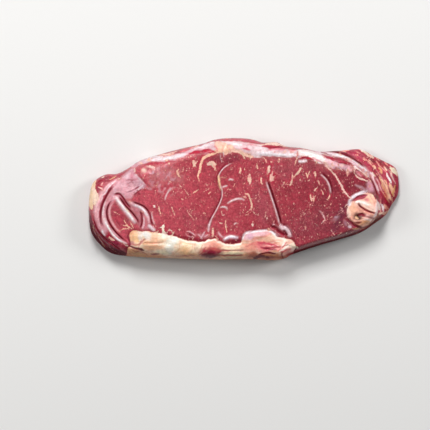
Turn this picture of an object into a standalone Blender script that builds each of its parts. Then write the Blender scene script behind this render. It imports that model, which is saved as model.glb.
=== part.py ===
"""A raw bison strip steak, lying on its lower cut face, at its real size.

The steak is one solid. It is drawn in millimetres as two sheets, the upper and the lower cut
face, that share one edge: the girdle, where the steak is widest. Each sheet starts as a square
grid whose points, at shares u and v from 0 to 1, are laid inside the four sides of the outline.
The height of a point comes from how far it lies inside the outline, and from the creases, folds
and fat near it. At the end the drawing is fitted to the driving sizes, with the origin under
its middle, and the triangles that the form doesn't need are taken out.

+X runs along the steak towards its thin tail, -Y points to the fat cap, +Z is up.
"""

from collections import namedtuple

import bmesh
import bpy
import numpy as np

# Driving sizes, in metres
LENGTH = 0.1995
WIDTH = 0.0785
THICKNESS = 0.0220

# The mesh: grid cells along and across each sheet, the share of triangles that is kept, and the
# share of the grid at each edge where its lines crowd together to follow the rounding
CELLS_ALONG = 340
CELLS_ACROSS = 148
TRIANGLES_KEPT = 0.0465
CROWDED_SHARE = 0.10
CURVE_STEPS = 8

# Every size from here on is in millimetres. The outline seen from above runs counter-clockwise,
# one list for each of its sides.
SOUTH = [(-86, -34.5), (-73, -36.8), (-50, -38), (-20, -38.8), (5, -38.6), (19, -39.2),
         (26.5, -38), (31, -35.6), (48, -29.9), (62, -25.8), (75, -21.6)]
EAST = [(84, -15.8), (91.5, -10), (95, -4), (99.2, 3), (99.7, 12), (97.6, 20)]
NORTH = [(90.5, 24.2), (83, 28), (75, 32), (61, 31), (49, 30.6), (37, 32.8), (27, 33.9),
         (21, 36.5), (12.5, 36.3), (4, 38.6), (-8, 39.2), (-18, 38.3), (-27, 35.4), (-42, 32),
         (-59, 27.3), (-67.5, 24.2), (-76, 18.8), (-82, 16.2), (-88, 16)]
WEST = [(-93.5, 13.6), (-97.7, 9.4), (-99.4, 1), (-99.8, -9), (-98.6, -20), (-94.4, -27.2)]

# How the upper face rounds over into the side, at these bearings from the middle, in degrees:
# the width of the rounding, its fullness (1 is a chamfer, 2 a quarter circle) and the height of
# the girdle
EDGE_BEARINGS = [0, 20, 36, 90, 140, 158, 172, 188, 199, 209, 235, 300, 318, 338, 352]
EDGE_WIDTHS = [10, 9, 6.5, 7.5, 8, 11, 9, 7, 12, 9, 8, 7.5, 4.5, 4.0, 7]
EDGE_FULLNESS = [1.9, 1.9, 2.0, 2.0, 1.9, 1.7, 1.9, 2.1, 1.6, 1.9, 2.4, 2.3, 1.7, 1.6, 1.8]
GIRDLE_HEIGHTS = [3.2, 3.0, 6, 8, 7.5, 7, 6, 6, 4, 6, 8, 8, 5, 5, 4]
FOOT_ROUNDING = 3.4

# The upper face: its height on the muscle, how far it falls towards the west end, and its slow
# swells
FACE_HEIGHT = 20.2
WEST_FALL = 2.6
WEST_FALL_START = -56.0
WEST_FALL_LENGTH = 42.0
SWELL = 0.45

# The thin tail lies north-east of the shoulder line, where the thick muscle drops to it
SHOULDER = [(20, 46), (46, 31.5), (56, 29.5), (67, 25.5), (76.5, 20), (83, 12), (87, 1),
            (88, -8), (95, -16)]
SHOULDER_WIDTH = 4.6
TAIL_HEIGHT = 12.4
TAIL_FALL = 0.34
TAIL_RIB_PITCH = 4.6
TAIL_RIB_HEIGHT = 0.55

# The border of the fat cap on the upper face; the fat lies south of it, a little proud, behind
# a shallow valley
CAP_BORDER = [(-77, -46), (-74.5, -32), (-71.8, -27.5), (-72.5, -23), (-68, -20.6), (-59, -20.6),
              (-50, -22), (-43, -25), (-35, -26.8), (-29, -27), (-22, -25), (-17, -25.6),
              (-12, -28.6), (-3, -28), (3, -24.6), (9, -22.9), (16, -22), (21, -23.4),
              (27, -24.8), (31.5, -27.5), (33.8, -31), (31.5, -34), (31, -46)]
CAP_RISE = 1.5
CAP_RISE_WIDTH = 3.5
CAP_VALLEY = 0.55

# The border of the silverskin along the northern rim; the skin lies north of it
BAND_BORDER = [(-84, 24), (-70.5, 17.5), (-65, 21.3), (-58, 24), (-47, 24.2), (-41, 25.8),
               (-35, 29), (-27, 31.2), (-22, 29), (-15, 30), (-8, 31.4), (-2, 29),
               (6, 27.6), (20, 27.6), (32, 27), (40, 26.4), (48, 23.6), (54, 20), (60, 24)]
BAND_RISE = 0.5
BAND_RISE_WIDTH = 2.0

# The slack facet in the north-west corner falls away behind this line, by this slope
FACET_EDGE = [(-72, 22), (-68, 14), (-64.5, 10), (-61.5, 7.5), (-66, 4.5), (-72, 1), (-84, -2)]
FACET_SLOPE = 0.13
FACET_REACH = 16.0

# The knob of fat in the tail corner: its border, its height, its rounding, and the pit in it
KNOB_BORDER = [(67, -3.5), (69, 0.5), (72.5, 3), (77.5, 4), (82.5, 1.8), (85, -2.5), (86.2, -7.5),
               (84.8, -12), (80.5, -16), (75.8, -18), (71, -16.6), (67, -12.8), (65.8, -8.5)]
KNOB_RISE = 1.3
KNOB_ROUNDING = 5.0
PIT = (72.8, -11.3)
PIT_RADIUS = 1.7
PIT_DEPTH = 2.0

# A crease is a narrow valley along a line, with a lip on its left and on its right. Each lip
# lies LIP_PLACE crease widths from the line and is LIP_WIDTH of them wide, and both ends of the
# crease fade out over FADE_SHARE of its length.
Crease = namedtuple("Crease", "line depth width left_lip right_lip")
LIP_PLACE = 2.4
LIP_WIDTH = 1.1
FADE_SHARE = 0.16
CREASES = {
    "outer fold": Crease([(-82.5, 9.5), (-86.5, 3.5), (-90, -2.5), (-92, -9), (-92.3, -15),
                          (-91, -21), (-88.5, -25)], 1.9, 0.75, 0.9, 0.8),
    "inner fold": Crease([(-83, -1.2), (-86, -4), (-87, -9), (-86.8, -13), (-85, -18),
                          (-82, -22.5), (-78, -26), (-73.5, -28.8)], 2.1, 0.75, 0.3, 1.3),
    "middle fold": Crease([(-81.5, 3.2), (-78.5, -1), (-76, -6), (-72.5, -10), (-68.5, -14),
                           (-66.5, -18)], 1.7, 0.7, 0.3, 1.5),
    "short fold": Crease([(-79, 1.8), (-76, -3), (-72.5, -7.5), (-69, -11)],
                         1.0, 0.55, 0.5, 0.0),
    "ear fold": Crease([(-72.5, -1.5), (-68, -3.6), (-64.5, -5.6), (-62, -8.5), (-59.7, -13),
                        (-58, -17), (-56, -19.8)], 1.5, 0.65, 0.0, 1.3),
    "ear hollow": Crease([(-67, -7), (-64.8, -11), (-64.6, -15), (-66, -19.5)],
                         1.1, 0.6, 0.7, 0.2),
    "corner fold": Crease([(-95, 9), (-91, 11.5), (-86, 12.8), (-80, 14.5), (-74, 17)],
                          1.3, 0.9, 0.2, 0.8),
    "left seam": Crease([(-6.5, 23.5), (-13.8, 19.8), (-16.3, 13.5), (-14.4, 6), (-14.8, 1),
                         (-19.5, -9), (-23, -18), (-23, -22)], 0.55, 0.45, 0.45, 0.0),
    "deep seam": Crease([(14.6, 13), (17.6, 4.5), (21.4, -7), (24, -16.5), (26.5, -18.4),
                         (29, -21.5), (31.2, -25)], 2.3, 0.65, 0.35, 0.7),
    "slit": Crease([(16.5, -17.2), (20, -18.6), (23, -21.2), (27, -23.6)], 1.5, 0.9, 0.2, 0.2),
    "right seam": Crease([(49, 17), (52.3, 14.3), (54.5, 11.3), (56, 7.5), (56.6, 3)],
                         1.0, 0.5, 0.0, 0.55),
    "fat seam": Crease([(50, 25), (54, 19.5), (60.4, 12.5), (62.6, 7.5), (64.4, 4.5),
                        (68, 0.6)], 0.35, 0.7, 0.15, 0.15),
    "shoulder seam": Crease([(63, 24.5), (69.5, 20.4), (75, 16.8), (80.4, 12.4), (84, 8),
                             (86.5, 3)], 1.5, 0.7, 0.6, 0.3),
    "cap fold": Crease([(33, -31.5), (28, -29.8), (24, -31), (18, -31.4), (12, -32.4)],
                       0.9, 0.6, 0.3, 0.3),
    "knob fold": Crease([(71.6, -2.2), (74.5, -5.8), (78.5, -8.3), (84.5, -10.4)],
                        1.5, 0.65, 0.6, 0.4),
    "knob band": Crease([(66.5, -6.5), (68.6, -2.6), (71.6, 0.4), (76, 2), (80, 1.4)],
                        1.0, 0.7, 0.9, 0.3),
}

# Soft lumps and dips: the middle, the half sizes and the height of each
Lump = namedtuple("Lump", "middle half height")
LUMPS = {
    "end of the cap": Lump((25, -32.5), (7, 5), 1.1),
    "large membrane": Lump((9.5, -23), (12, 3.2), 0.9),
    "small membrane": Lump((-8, -25.6), (5.5, 1.7), 0.7),
    "floor of the eye": Lump((-77, -15), (6, 8), -0.9),
    "cap middle": Lump((-30, -33), (12, 5), 0.5),
    "cap west": Lump((-62, -29), (9, 6), 0.6),
    "nub on the rim": Lump((22, 34.6), (5, 2.2), 0.8),
    "fat of the tail tip": Lump((94, 10), (4, 9), 1.2),
}

# Colour and roughness of each kind of surface, in the order of their numbers in surface_kind
MEAT_FINISHES = {
    "lean": ((0.30, 0.045, 0.060), 0.38),
    "fat": ((0.80, 0.56, 0.40), 0.42),
    "silverskin": ((0.70, 0.32, 0.32), 0.32),
}


def smooth_step(value):
    """A ramp from 0 to 1 with level ends, for values from 0 to 1."""
    held = np.clip(value, 0.0, 1.0)
    return held * held * (3.0 - 2.0 * held)


def rounded(depth, width, fullness):
    """How far a rounded edge has risen, from 0 at the rim to 1 where the face is level."""
    short = 1.0 - np.clip(depth / width, 0.0, 1.0)
    return (1.0 - short ** fullness) ** (1.0 / fullness)


def spline(points, closed=False):
    """Points on a Catmull-Rom curve through the given ones."""
    given = np.array(points, float)
    if closed:
        padded = np.vstack([given[-1:], given, given[:2]])
    else:
        padded = np.vstack([2 * given[0] - given[1], given, 2 * given[-1] - given[-2]])
    t = np.linspace(0.0, 1.0, CURVE_STEPS, endpoint=False)[:, None]
    spans = []
    for a, b, c, d in zip(padded, padded[1:], padded[2:], padded[3:]):
        spans.append(0.5 * (2 * b + (c - a) * t + (2 * a - 5 * b + 4 * c - d) * t ** 2
                            + (3 * b - a - 3 * c + d) * t ** 3))
    return np.vstack(spans + [padded[-2]])


def running_length(line):
    """The length of a line up to each of its points."""
    steps = np.diff(line, axis=0)
    return np.concatenate([[0.0], np.cumsum(np.hypot(steps[:, 0], steps[:, 1]))])


def along(line, shares):
    """Points of a line at these shares of its length."""
    run = running_length(line)
    at = shares * run[-1]
    return np.column_stack([np.interp(at, run, line[:, 0]), np.interp(at, run, line[:, 1])])


def beside(line, x, y):
    """How far each point lies from a line, positive on its left, and the share along it."""
    run = running_length(line)
    nearest = np.full(x.shape, np.inf)
    side = np.ones(x.shape)
    share = np.zeros(x.shape)
    for i, (start, end) in enumerate(zip(line[:-1], line[1:])):
        dx, dy = end - start
        t = ((x - start[0]) * dx + (y - start[1]) * dy) / (dx * dx + dy * dy)
        t = np.clip(t, 0.0, 1.0)
        gap_x = x - start[0] - t * dx
        gap_y = y - start[1] - t * dy
        gap = gap_x ** 2 + gap_y ** 2
        closer = gap < nearest
        nearest = np.where(closer, gap, nearest)
        side = np.where(closer, np.where(dx * gap_y - dy * gap_x >= 0, 1.0, -1.0), side)
        share = np.where(closer, (run[i] + t * (run[i + 1] - run[i])) / run[-1], share)
    return side * np.sqrt(nearest), share


def outline_sides():
    """The closed outline, and its four sides as separate lines that share their corners."""
    rim = spline(SOUTH + EAST + NORTH + WEST, closed=True)
    counts = [len(SOUTH), len(EAST), len(NORTH), len(WEST)]
    corners = np.concatenate([[0], np.cumsum(counts)]) * CURVE_STEPS
    return rim, [rim[a:b + 1] for a, b in zip(corners, corners[1:])]


def crowded(share):
    """Moves even shares from 0 to 1 closer together at both ends, as a circle's points are."""
    edge = 0.5 * np.pi * CROWDED_SHARE / (1.0 + (np.pi - 2.0) * CROWDED_SHARE)
    from_end = np.minimum(share, 1.0 - share)
    curved = CROWDED_SHARE * (1.0 - np.cos(0.5 * np.pi * np.clip(from_end / edge, 0.0, 1.0)))
    straight_pace = (1.0 - 2.0 * CROWDED_SHARE) / (1.0 - 2.0 * edge)
    straight = CROWDED_SHARE + (from_end - edge) * straight_pace
    moved = np.where(from_end < edge, curved, straight)
    return np.where(share <= 0.5, moved, 1.0 - moved)


def inside_outline(sides, u, v):
    """Places the shares u and v of a square inside four sides, by blending the sides."""
    south, east, north, west = sides
    low, high = along(south, u), along(north[::-1], u)
    left, right = along(west[::-1], v), along(east, v)
    u, v = u[:, None], v[:, None]
    corners = ((1 - u) * (1 - v) * south[0] + u * (1 - v) * south[-1]
               + (1 - u) * v * west[0] + u * v * north[0])
    placed = (1 - v) * low + v * high + (1 - u) * left + u * right - corners
    return placed[:, 0], placed[:, 1]


def add_crease(height, x, y, crease):
    """Cuts one crease into the heights of the points near its line."""
    line = spline(crease.line)
    reach = (LIP_PLACE + 3.0 * LIP_WIDTH) * crease.width
    low, high = line.min(axis=0) - reach, line.max(axis=0) + reach
    near = (x > low[0]) & (x < high[0]) & (y > low[1]) & (y < high[1])
    gap, share = beside(line, x[near], y[near])
    gap = gap / crease.width
    fade = smooth_step(share / FADE_SHARE) * smooth_step((1.0 - share) / FADE_SHARE)
    valley = -crease.depth * np.exp(-gap ** 2)
    left = crease.left_lip * np.exp(-((gap - LIP_PLACE) / LIP_WIDTH) ** 2)
    right = crease.right_lip * np.exp(-((gap + LIP_PLACE) / LIP_WIDTH) ** 2)
    height[near] += fade * (valley + left + right)


def lump_height(x, y, lump):
    """A round-topped lump, or a dip, with soft sides."""
    reach_x = (x - lump.middle[0]) / lump.half[0]
    reach_y = (y - lump.middle[1]) / lump.half[1]
    return lump.height * np.exp(-reach_x ** 2 - reach_y ** 2)


def inside_knob(x, y):
    """How far a point lies inside the border of the knob of fat; outside it is negative."""
    return -beside(spline(KNOB_BORDER, closed=True), x, y)[0]


def knob_height(x, y):
    """The knob of fat: a low cushion with a pit."""
    cushion = KNOB_RISE * rounded(np.maximum(inside_knob(x, y), 0.0), KNOB_ROUNDING, 2.0)
    pit = -PIT_DEPTH * np.exp(-(np.hypot(x - PIT[0], y - PIT[1]) / PIT_RADIUS) ** 2)
    return cushion + pit


def tail_share(x, y):
    """0 on the thick muscle and 1 on the thin tail, and how far past the shoulder a point is."""
    past = beside(spline(SHOULDER), x, y)[0]
    return smooth_step(past / SHOULDER_WIDTH + 0.7), past


def face_height(x, y):
    """Height of the upper cut face before it rounds over, with all its relief."""
    swells = SWELL * (np.sin(x / 13.0 + 0.8) * np.cos(y / 10.0) + 0.6 * np.sin(x / 7.1 - y / 8.3))
    fall = WEST_FALL * smooth_step((WEST_FALL_START - x) / WEST_FALL_LENGTH)
    muscle = FACE_HEIGHT - fall + swells
    on_tail, past = tail_share(x, y)
    ribs = TAIL_RIB_HEIGHT * np.sin(2.0 * np.pi * past / TAIL_RIB_PITCH)
    tail = TAIL_HEIGHT - TAIL_FALL * np.maximum(past, 0.0) + ribs
    height = (1.0 - on_tail) * muscle + on_tail * tail

    inside_cap = -beside(spline(CAP_BORDER), x, y)[0]
    height += CAP_RISE * smooth_step(inside_cap / CAP_RISE_WIDTH)
    height -= CAP_VALLEY * np.exp(-((inside_cap + 0.6) / 0.8) ** 2)
    inside_band = beside(spline(BAND_BORDER), x, y)[0]
    height += (1.0 - on_tail) * BAND_RISE * smooth_step(inside_band / BAND_RISE_WIDTH)
    behind_facet = np.clip(-beside(spline(FACET_EDGE), x, y)[0], 0.0, FACET_REACH)
    height -= FACET_SLOPE * behind_facet * smooth_step((x + 92.0) / 12.0)

    for crease in CREASES.values():
        add_crease(height, x, y, crease)
    for lump in LUMPS.values():
        height += lump_height(x, y, lump)
    return height + knob_height(x, y)


def edge_style(rim, x, y):
    """The rounding's width, its fullness and the girdle height at the nearest rim point."""
    nearest = along(rim, beside(rim, x, y)[1])
    bearing = np.degrees(np.arctan2(nearest[:, 1], nearest[:, 0])) % 360.0
    return [np.interp(bearing, EDGE_BEARINGS, values, period=360.0)
            for values in (EDGE_WIDTHS, EDGE_FULLNESS, GIRDLE_HEIGHTS)]


def steak_points(u, v, upper):
    """The points of a sheet at the shares u and v: of the upper face where upper is true."""
    rim, sides = outline_sides()
    x, y = inside_outline(sides, crowded(u), crowded(v))
    on_rim = np.minimum(np.minimum(u, 1.0 - u), np.minimum(v, 1.0 - v)) < 1e-5
    depth = np.where(on_rim, 0.0, np.abs(beside(rim, x, y)[0]))
    width, fullness, girdle = edge_style(rim, x, y)
    top = girdle + (face_height(x, y) - girdle) * rounded(depth, width, fullness)
    foot = girdle * (1.0 - rounded(depth, FOOT_ROUNDING, 2.0))
    return np.column_stack([x, y, np.where(upper, top, foot)])


def fitted(points):
    """Scales the drawing to the driving sizes and puts the origin under its middle."""
    low, high = points.min(axis=0), points.max(axis=0)
    size = np.array([LENGTH, WIDTH, THICKNESS])
    base = np.array([(low[0] + high[0]) / 2, (low[1] + high[1]) / 2, low[2]])
    return (points - base) * size / (high - low)


def surface_kind(x, y):
    """0 for lean, 1 for fat and 2 for silverskin, for a place seen from above."""
    in_cap = beside(spline(CAP_BORDER), x, y)[0] < 0.0
    in_knob = inside_knob(x, y) > 0.0
    in_band = (beside(spline(BAND_BORDER), x, y)[0] > 0.0) & (tail_share(x, y)[0] < 0.5)
    return np.where(in_cap | in_knob, 1, np.where(in_band, 2, 0))


def finish(name, colour, roughness):
    """A moist meat surface of one colour."""
    material = bpy.data.materials.new(name)
    material.use_nodes = True
    shader = material.node_tree.nodes["Principled BSDF"]
    shader.inputs["Base Color"].default_value = (*colour, 1.0)
    shader.inputs["Roughness"].default_value = roughness
    shader.inputs["Metallic"].default_value = 0.0
    material.diffuse_color = (*colour, 1.0)
    return material


def square_sheets():
    """Two flat square grids, from -1 to 1, the second one facing down."""
    mesh = bpy.data.meshes.new("steak")
    sheets = bmesh.new()
    for faces_down in (False, True):
        grid = bmesh.ops.create_grid(sheets, x_segments=CELLS_ALONG, y_segments=CELLS_ACROSS,
                                     size=1.0)
        if faces_down:
            lower = list({face for vert in grid["verts"] for face in vert.link_faces})
            bmesh.ops.reverse_faces(sheets, faces=lower)
    sheets.to_mesh(mesh)
    sheets.free()
    return mesh


def steak_mesh():
    """The closed skin of the steak: both sheets in place and welded along the girdle."""
    mesh = square_sheets()
    count = len(mesh.vertices)
    square = np.zeros(3 * count, np.float32)
    mesh.vertices.foreach_get("co", square)
    u, v = (0.5 + 0.5 * square.reshape(-1, 3)[:, :2].astype(float)).T
    drawing = steak_points(u, v, np.arange(count) < count // 2)
    mesh.vertices.foreach_set("co", fitted(drawing).ravel())

    corners = np.zeros(4 * len(mesh.polygons), np.int32)
    mesh.loops.foreach_get("vertex_index", corners)
    middles = drawing[corners.reshape(-1, 4)].mean(axis=1)
    mesh.polygons.foreach_set("material_index", surface_kind(middles[:, 0], middles[:, 1]))

    welded = bmesh.new()
    welded.from_mesh(mesh)
    bmesh.ops.remove_doubles(welded, verts=welded.verts, dist=1e-6)
    bmesh.ops.recalc_face_normals(welded, faces=welded.faces)
    welded.to_mesh(mesh)
    welded.free()
    mesh.shade_smooth()
    return mesh


def build_steak():
    """Puts the steak in its own collection, with its finishes and its spare triangles removed."""
    for leftover in list(bpy.data.objects):
        bpy.data.objects.remove(leftover)
    collection = bpy.data.collections.new("bison_strip_steak")
    bpy.context.scene.collection.children.link(collection)
    mesh = steak_mesh()
    for name, (colour, roughness) in MEAT_FINISHES.items():
        mesh.materials.append(finish(name, colour, roughness))
    steak = bpy.data.objects.new("steak", mesh)
    collection.objects.link(steak)
    thinning = steak.modifiers.new("thinning", "DECIMATE")
    thinning.ratio = TRIANGLES_KEPT


build_steak()
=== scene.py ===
"""A raw bison strip steak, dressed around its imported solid.

The steak is one closed skin. Two sheets, the upper and the lower cut face, meet at the girdle,
where the steak is widest. Each is a grid of two shares, u and v, laid inside the outline. All is
worked out in millimetres, seen from above, and fitted to the box of the solid at the end: +X runs
towards the thin tail, +Y away from the fat cap. Each part of the meat is a class that lays its
relief and its colours on a sheet, and the finish reads the colours from the mesh.
"""

import logging
from dataclasses import dataclass, field
from enum import Enum

import bpy
import numpy as np
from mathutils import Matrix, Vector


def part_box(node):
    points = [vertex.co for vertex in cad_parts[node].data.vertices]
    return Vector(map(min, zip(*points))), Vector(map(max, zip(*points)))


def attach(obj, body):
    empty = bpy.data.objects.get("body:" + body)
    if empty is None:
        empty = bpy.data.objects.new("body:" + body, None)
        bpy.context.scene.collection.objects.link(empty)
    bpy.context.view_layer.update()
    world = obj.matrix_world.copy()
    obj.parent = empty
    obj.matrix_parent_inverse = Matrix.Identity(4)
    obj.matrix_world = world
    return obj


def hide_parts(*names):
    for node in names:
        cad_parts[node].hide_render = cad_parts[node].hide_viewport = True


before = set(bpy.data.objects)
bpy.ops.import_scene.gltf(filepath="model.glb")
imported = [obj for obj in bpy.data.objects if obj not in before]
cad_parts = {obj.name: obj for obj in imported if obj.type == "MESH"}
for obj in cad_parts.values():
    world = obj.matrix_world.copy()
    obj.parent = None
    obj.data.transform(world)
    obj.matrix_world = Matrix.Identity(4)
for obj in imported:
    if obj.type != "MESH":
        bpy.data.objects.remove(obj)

MILLIMETRE = 0.001
CURVE_STEPS = 8
LATTICE_SIZE = 64
Line = list[tuple[float, float]]
Array = np.ndarray

log = logging.getLogger("strip_steak")


def linear(hex_colour: str) -> Array:
    """Turns an sRGB hex colour into linear light: each channel through the sRGB curve.

    Args:
        hex_colour: The colour, such as "#A84650".

    Returns:
        Red, green and blue from 0 to 1.
    """
    values = np.array([int(hex_colour[i:i + 2], 16) for i in (1, 3, 5)]) / 255.0
    return np.where(values <= 0.04045, values / 12.92, ((values + 0.055) / 1.055) ** 2.4)


def toned(x: Array, places: tuple[float, ...], tones: tuple[str, ...]) -> Array:
    """Colours along the steak: straight blends, in linear light, between the given tones.

    Args:
        x: How far along the steak each point lies.
        places: Where along it the tones stand.
        tones: The sRGB hex colour at each place.

    Returns:
        A linear colour for each point.
    """
    colours = np.array([linear(tone) for tone in tones])
    return np.stack([np.interp(x, places, colours[:, i]) for i in range(3)], axis=1)


def smooth_step(value: Array) -> Array:
    """A ramp from 0 to 1 with level ends: three squares minus two cubes.

    Args:
        value: Any numbers. Those outside 0 to 1 are held at the ends.

    Returns:
        The ramp's height at each number.
    """
    held = np.clip(value, 0.0, 1.0)
    return held * held * (3.0 - 2.0 * held)


def rounded(depth: Array, width: Array | float, fullness: Array | float) -> Array:
    """How far a rounded edge has risen: a superellipse over the width, level past it.

    Args:
        depth: Distance inside the rim.
        width: Width of the rounding.
        fullness: 1 for a chamfer, 2 for a quarter circle, more for a squarer edge.

    Returns:
        0 at the rim to 1 where the face is level.
    """
    short = 1.0 - np.clip(depth / width, 0.0, 1.0)
    return (1.0 - short ** fullness) ** (1.0 / fullness)


def spline(points: Line, closed: bool = False) -> Array:
    """Points on a Catmull-Rom curve: cubic spans whose slope follows the neighbours.

    Args:
        points: The points that the curve passes through.
        closed: Whether the curve returns to its first point.

    Returns:
        The curve's points, one row each.
    """
    given = np.array(points, float)
    if closed:
        padded = np.vstack([given[-1:], given, given[:2]])
    else:
        padded = np.vstack([2 * given[0] - given[1], given, 2 * given[-1] - given[-2]])
    t = np.linspace(0.0, 1.0, CURVE_STEPS, endpoint=False)[:, None]
    spans = []
    for a, b, c, d in zip(padded, padded[1:], padded[2:], padded[3:]):
        spans.append(0.5 * (2 * b + (c - a) * t + (2 * a - 5 * b + 4 * c - d) * t ** 2
                            + (3 * b - a - 3 * c + d) * t ** 3))
    return np.vstack(spans + [padded[-2]])


def running_length(line: Array) -> Array:
    """The length of a line up to each of its points: a running sum of its steps."""
    steps = np.diff(line, axis=0)
    return np.concatenate([[0.0], np.cumsum(np.hypot(steps[:, 0], steps[:, 1]))])


def along(line: Array, shares: Array) -> Array:
    """Points of a line at shares of its length, by straight steps between its points.

    Args:
        line: The line's points, one row each.
        shares: Shares of the whole length, from 0 to 1.

    Returns:
        One point for each share.
    """
    run = running_length(line)
    at = shares * run[-1]
    return np.column_stack([np.interp(at, run, line[:, 0]), np.interp(at, run, line[:, 1])])


def beside(line: Array, x: Array, y: Array) -> tuple[Array, Array]:
    """Distance from a line to each point: the least of the distances to its segments.

    Args:
        line: The line's points, one row each.
        x: The points' first coordinates.
        y: The points' second coordinates.

    Returns:
        The distance, positive on the line's left, and the share along it of the nearest place.
    """
    run = running_length(line)
    nearest = np.full(x.shape, np.inf)
    side = np.ones(x.shape)
    share = np.zeros(x.shape)
    for i, (start, end) in enumerate(zip(line[:-1], line[1:])):
        dx, dy = end - start
        t = ((x - start[0]) * dx + (y - start[1]) * dy) / (dx * dx + dy * dy)
        t = np.clip(t, 0.0, 1.0)
        gap_x = x - start[0] - t * dx
        gap_y = y - start[1] - t * dy
        gap = gap_x ** 2 + gap_y ** 2
        closer = gap < nearest
        nearest = np.where(closer, gap, nearest)
        side = np.where(closer, np.where(dx * gap_y - dy * gap_x >= 0, 1.0, -1.0), side)
        share = np.where(closer, (run[i] + t * (run[i + 1] - run[i])) / run[-1], share)
    return side * np.sqrt(nearest), share


def inside(border: Line, x: Array, y: Array) -> Array:
    """How far points lie inside a closed border, whichever way round it is drawn.

    Args:
        border: The border's points, without the first one repeated.
        x: The points' first coordinates.
        y: The points' second coordinates.

    Returns:
        The distance to the border, negative outside it.
    """
    ring = spline(border, closed=True)
    twice_area = np.sum(ring[:-1, 0] * ring[1:, 1] - ring[1:, 0] * ring[:-1, 1])
    return np.sign(twice_area) * beside(ring, x, y)[0]


def soft_noise(x: Array, y: Array, pitch: float, seed: int) -> Array:
    """Smooth random swells: random heights on a square lattice, blended by smooth steps.

    Args:
        x: The points' first coordinates.
        y: The points' second coordinates.
        pitch: Spacing of the lattice, in the units of x and y.
        seed: Which of the random lattices to use.

    Returns:
        Numbers from -1 to 1.
    """
    lattice = np.random.default_rng(seed).uniform(-1.0, 1.0, (LATTICE_SIZE, LATTICE_SIZE))
    across, up = x / pitch, y / pitch
    column, row = np.floor(across).astype(int), np.floor(up).astype(int)
    s, t = smooth_step(across - column), smooth_step(up - row)
    west, east = column % LATTICE_SIZE, (column + 1) % LATTICE_SIZE
    south, north = row % LATTICE_SIZE, (row + 1) % LATTICE_SIZE
    low = lattice[west, south] * (1 - s) + lattice[east, south] * s
    top = lattice[west, north] * (1 - s) + lattice[east, north] * s
    return low * (1 - t) + top * t


class Face(Enum):
    """Which cut face a sheet is."""

    UPPER = "upper"
    LOWER = "lower"


class Layer(Enum):
    """Which layer of the meat a patch of colour lies in."""

    LEAN = "lean"
    FAT = "fat"
    SKIN = "skin"
    SHADE = "shade"


@dataclass
class Sheet:
    """One cut face as points seen from above, with what the meat is made of at each point and its
    painted shade.
    """

    face: Face
    x: Array
    y: Array
    height: Array = field(init=False)
    lean: Array = field(init=False)
    pale: Array = field(init=False)
    fat: Array = field(init=False)
    veil: Array = field(init=False)
    shade: Array = field(init=False)
    drawn_x: Array = field(init=False)
    drawn_y: Array = field(init=False)
    wander: float = 0.4
    wander_pitch: float = 2.1
    lean_colour: str = "#A84A54"
    pale_colour: str = "#E6BCA8"
    far_from_fat: float = -5.0
    fat_fringe: float = 0.9
    skin_strength: float = 3.0

    def __post_init__(self) -> None:
        """Starts the layers plain, and draws colours at places that wander a little."""
        count = len(self.x)
        self.height = np.zeros(count)
        self.lean = np.tile(linear(self.lean_colour), (count, 1))
        self.pale = np.tile(linear(self.pale_colour), (count, 1))
        self.fat = np.full(count, self.far_from_fat)
        self.veil = np.zeros(count)
        self.shade = np.zeros(count)
        self.drawn_x = self.x + self.wander * soft_noise(self.x, self.y, self.wander_pitch, 3)
        self.drawn_y = self.y + self.wander * soft_noise(self.x, self.y, self.wander_pitch, 4)

    @property
    def everywhere(self) -> Array:
        """Numbers of all the points."""
        return np.arange(len(self.x))

    def near(self, line: Array, reach: float) -> Array:
        """Numbers of the points whose place is within reach of the box round a line."""
        low, high = line.min(axis=0) - reach, line.max(axis=0) + reach
        return np.flatnonzero((self.x > low[0]) & (self.x < high[0])
                              & (self.y > low[1]) & (self.y < high[1]))

    def round_line(self, points: Line, reach: float, drawn: bool) -> tuple[Array, Array, Array]:
        """Finds the points round a curve, and where they lie from it.

        Args:
            points: The points that the curve passes through.
            reach: How far outside the curve's box the points may lie.
            drawn: Whether to take the wandering places or the true ones.

        Returns:
            Numbers of the points, their distances from the curve, and their shares along it.
        """
        line = spline(points)
        at = self.near(line, reach)
        x, y = (self.drawn_x, self.drawn_y) if drawn else (self.x, self.y)
        gap, share = beside(line, x[at], y[at])
        return at, gap, share

    def lay_fat(self, at: Array, depth: Array, colour: str) -> None:
        """Lays fat: the deeper of the two depths holds, and its colour blends in just outside.

        Args:
            at: Numbers of the points.
            depth: How far inside the fat each point lies, in millimetres.
            colour: The fat's sRGB hex colour.
        """
        share = smooth_step(depth + self.fat_fringe)[:, None]
        self.pale[at] += (linear(colour) - self.pale[at]) * share
        self.fat[at] = np.maximum(self.fat[at], depth)

    def lay_skin(self, at: Array, share: Array, colour: str) -> None:
        """Lays a thin pale skin: the denser of the two veils holds.

        Args:
            at: Numbers of the points.
            share: How much of the lean the skin hides at each point, from 0 to 1.
            colour: The skin's sRGB hex colour.
        """
        weight = np.clip(self.skin_strength * share, 0.0, 1.0)[:, None]
        self.pale[at] += (linear(colour) - self.pale[at]) * weight
        self.veil[at] = np.maximum(self.veil[at], share)

    def tint(self, layer: Layer, at: Array, share: Array, colour: str = "") -> None:
        """Blends a colour into the lean or the fat, or adds skin or shade.

        Args:
            layer: The layer that changes.
            at: Numbers of the points.
            share: How strong the change is at each point, from 0 to 1.
            colour: An sRGB hex colour, which the shade doesn't use.
        """
        if layer is Layer.LEAN:
            self.lean[at] += (linear(colour) - self.lean[at]) * share[:, None]
        elif layer is Layer.FAT:
            self.pale[at] += (linear(colour) - self.pale[at]) * share[:, None]
        elif layer is Layer.SKIN:
            self.lay_skin(at, share, colour)
        else:
            self.shade[at] = np.maximum(self.shade[at], share)


def lay_all(sheet: Sheet, *groups: tuple[object, ...]) -> None:
    """Lays the pieces of each group on a sheet, one after another."""
    for group in groups:
        for piece in group:
            piece.lay(sheet)


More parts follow.
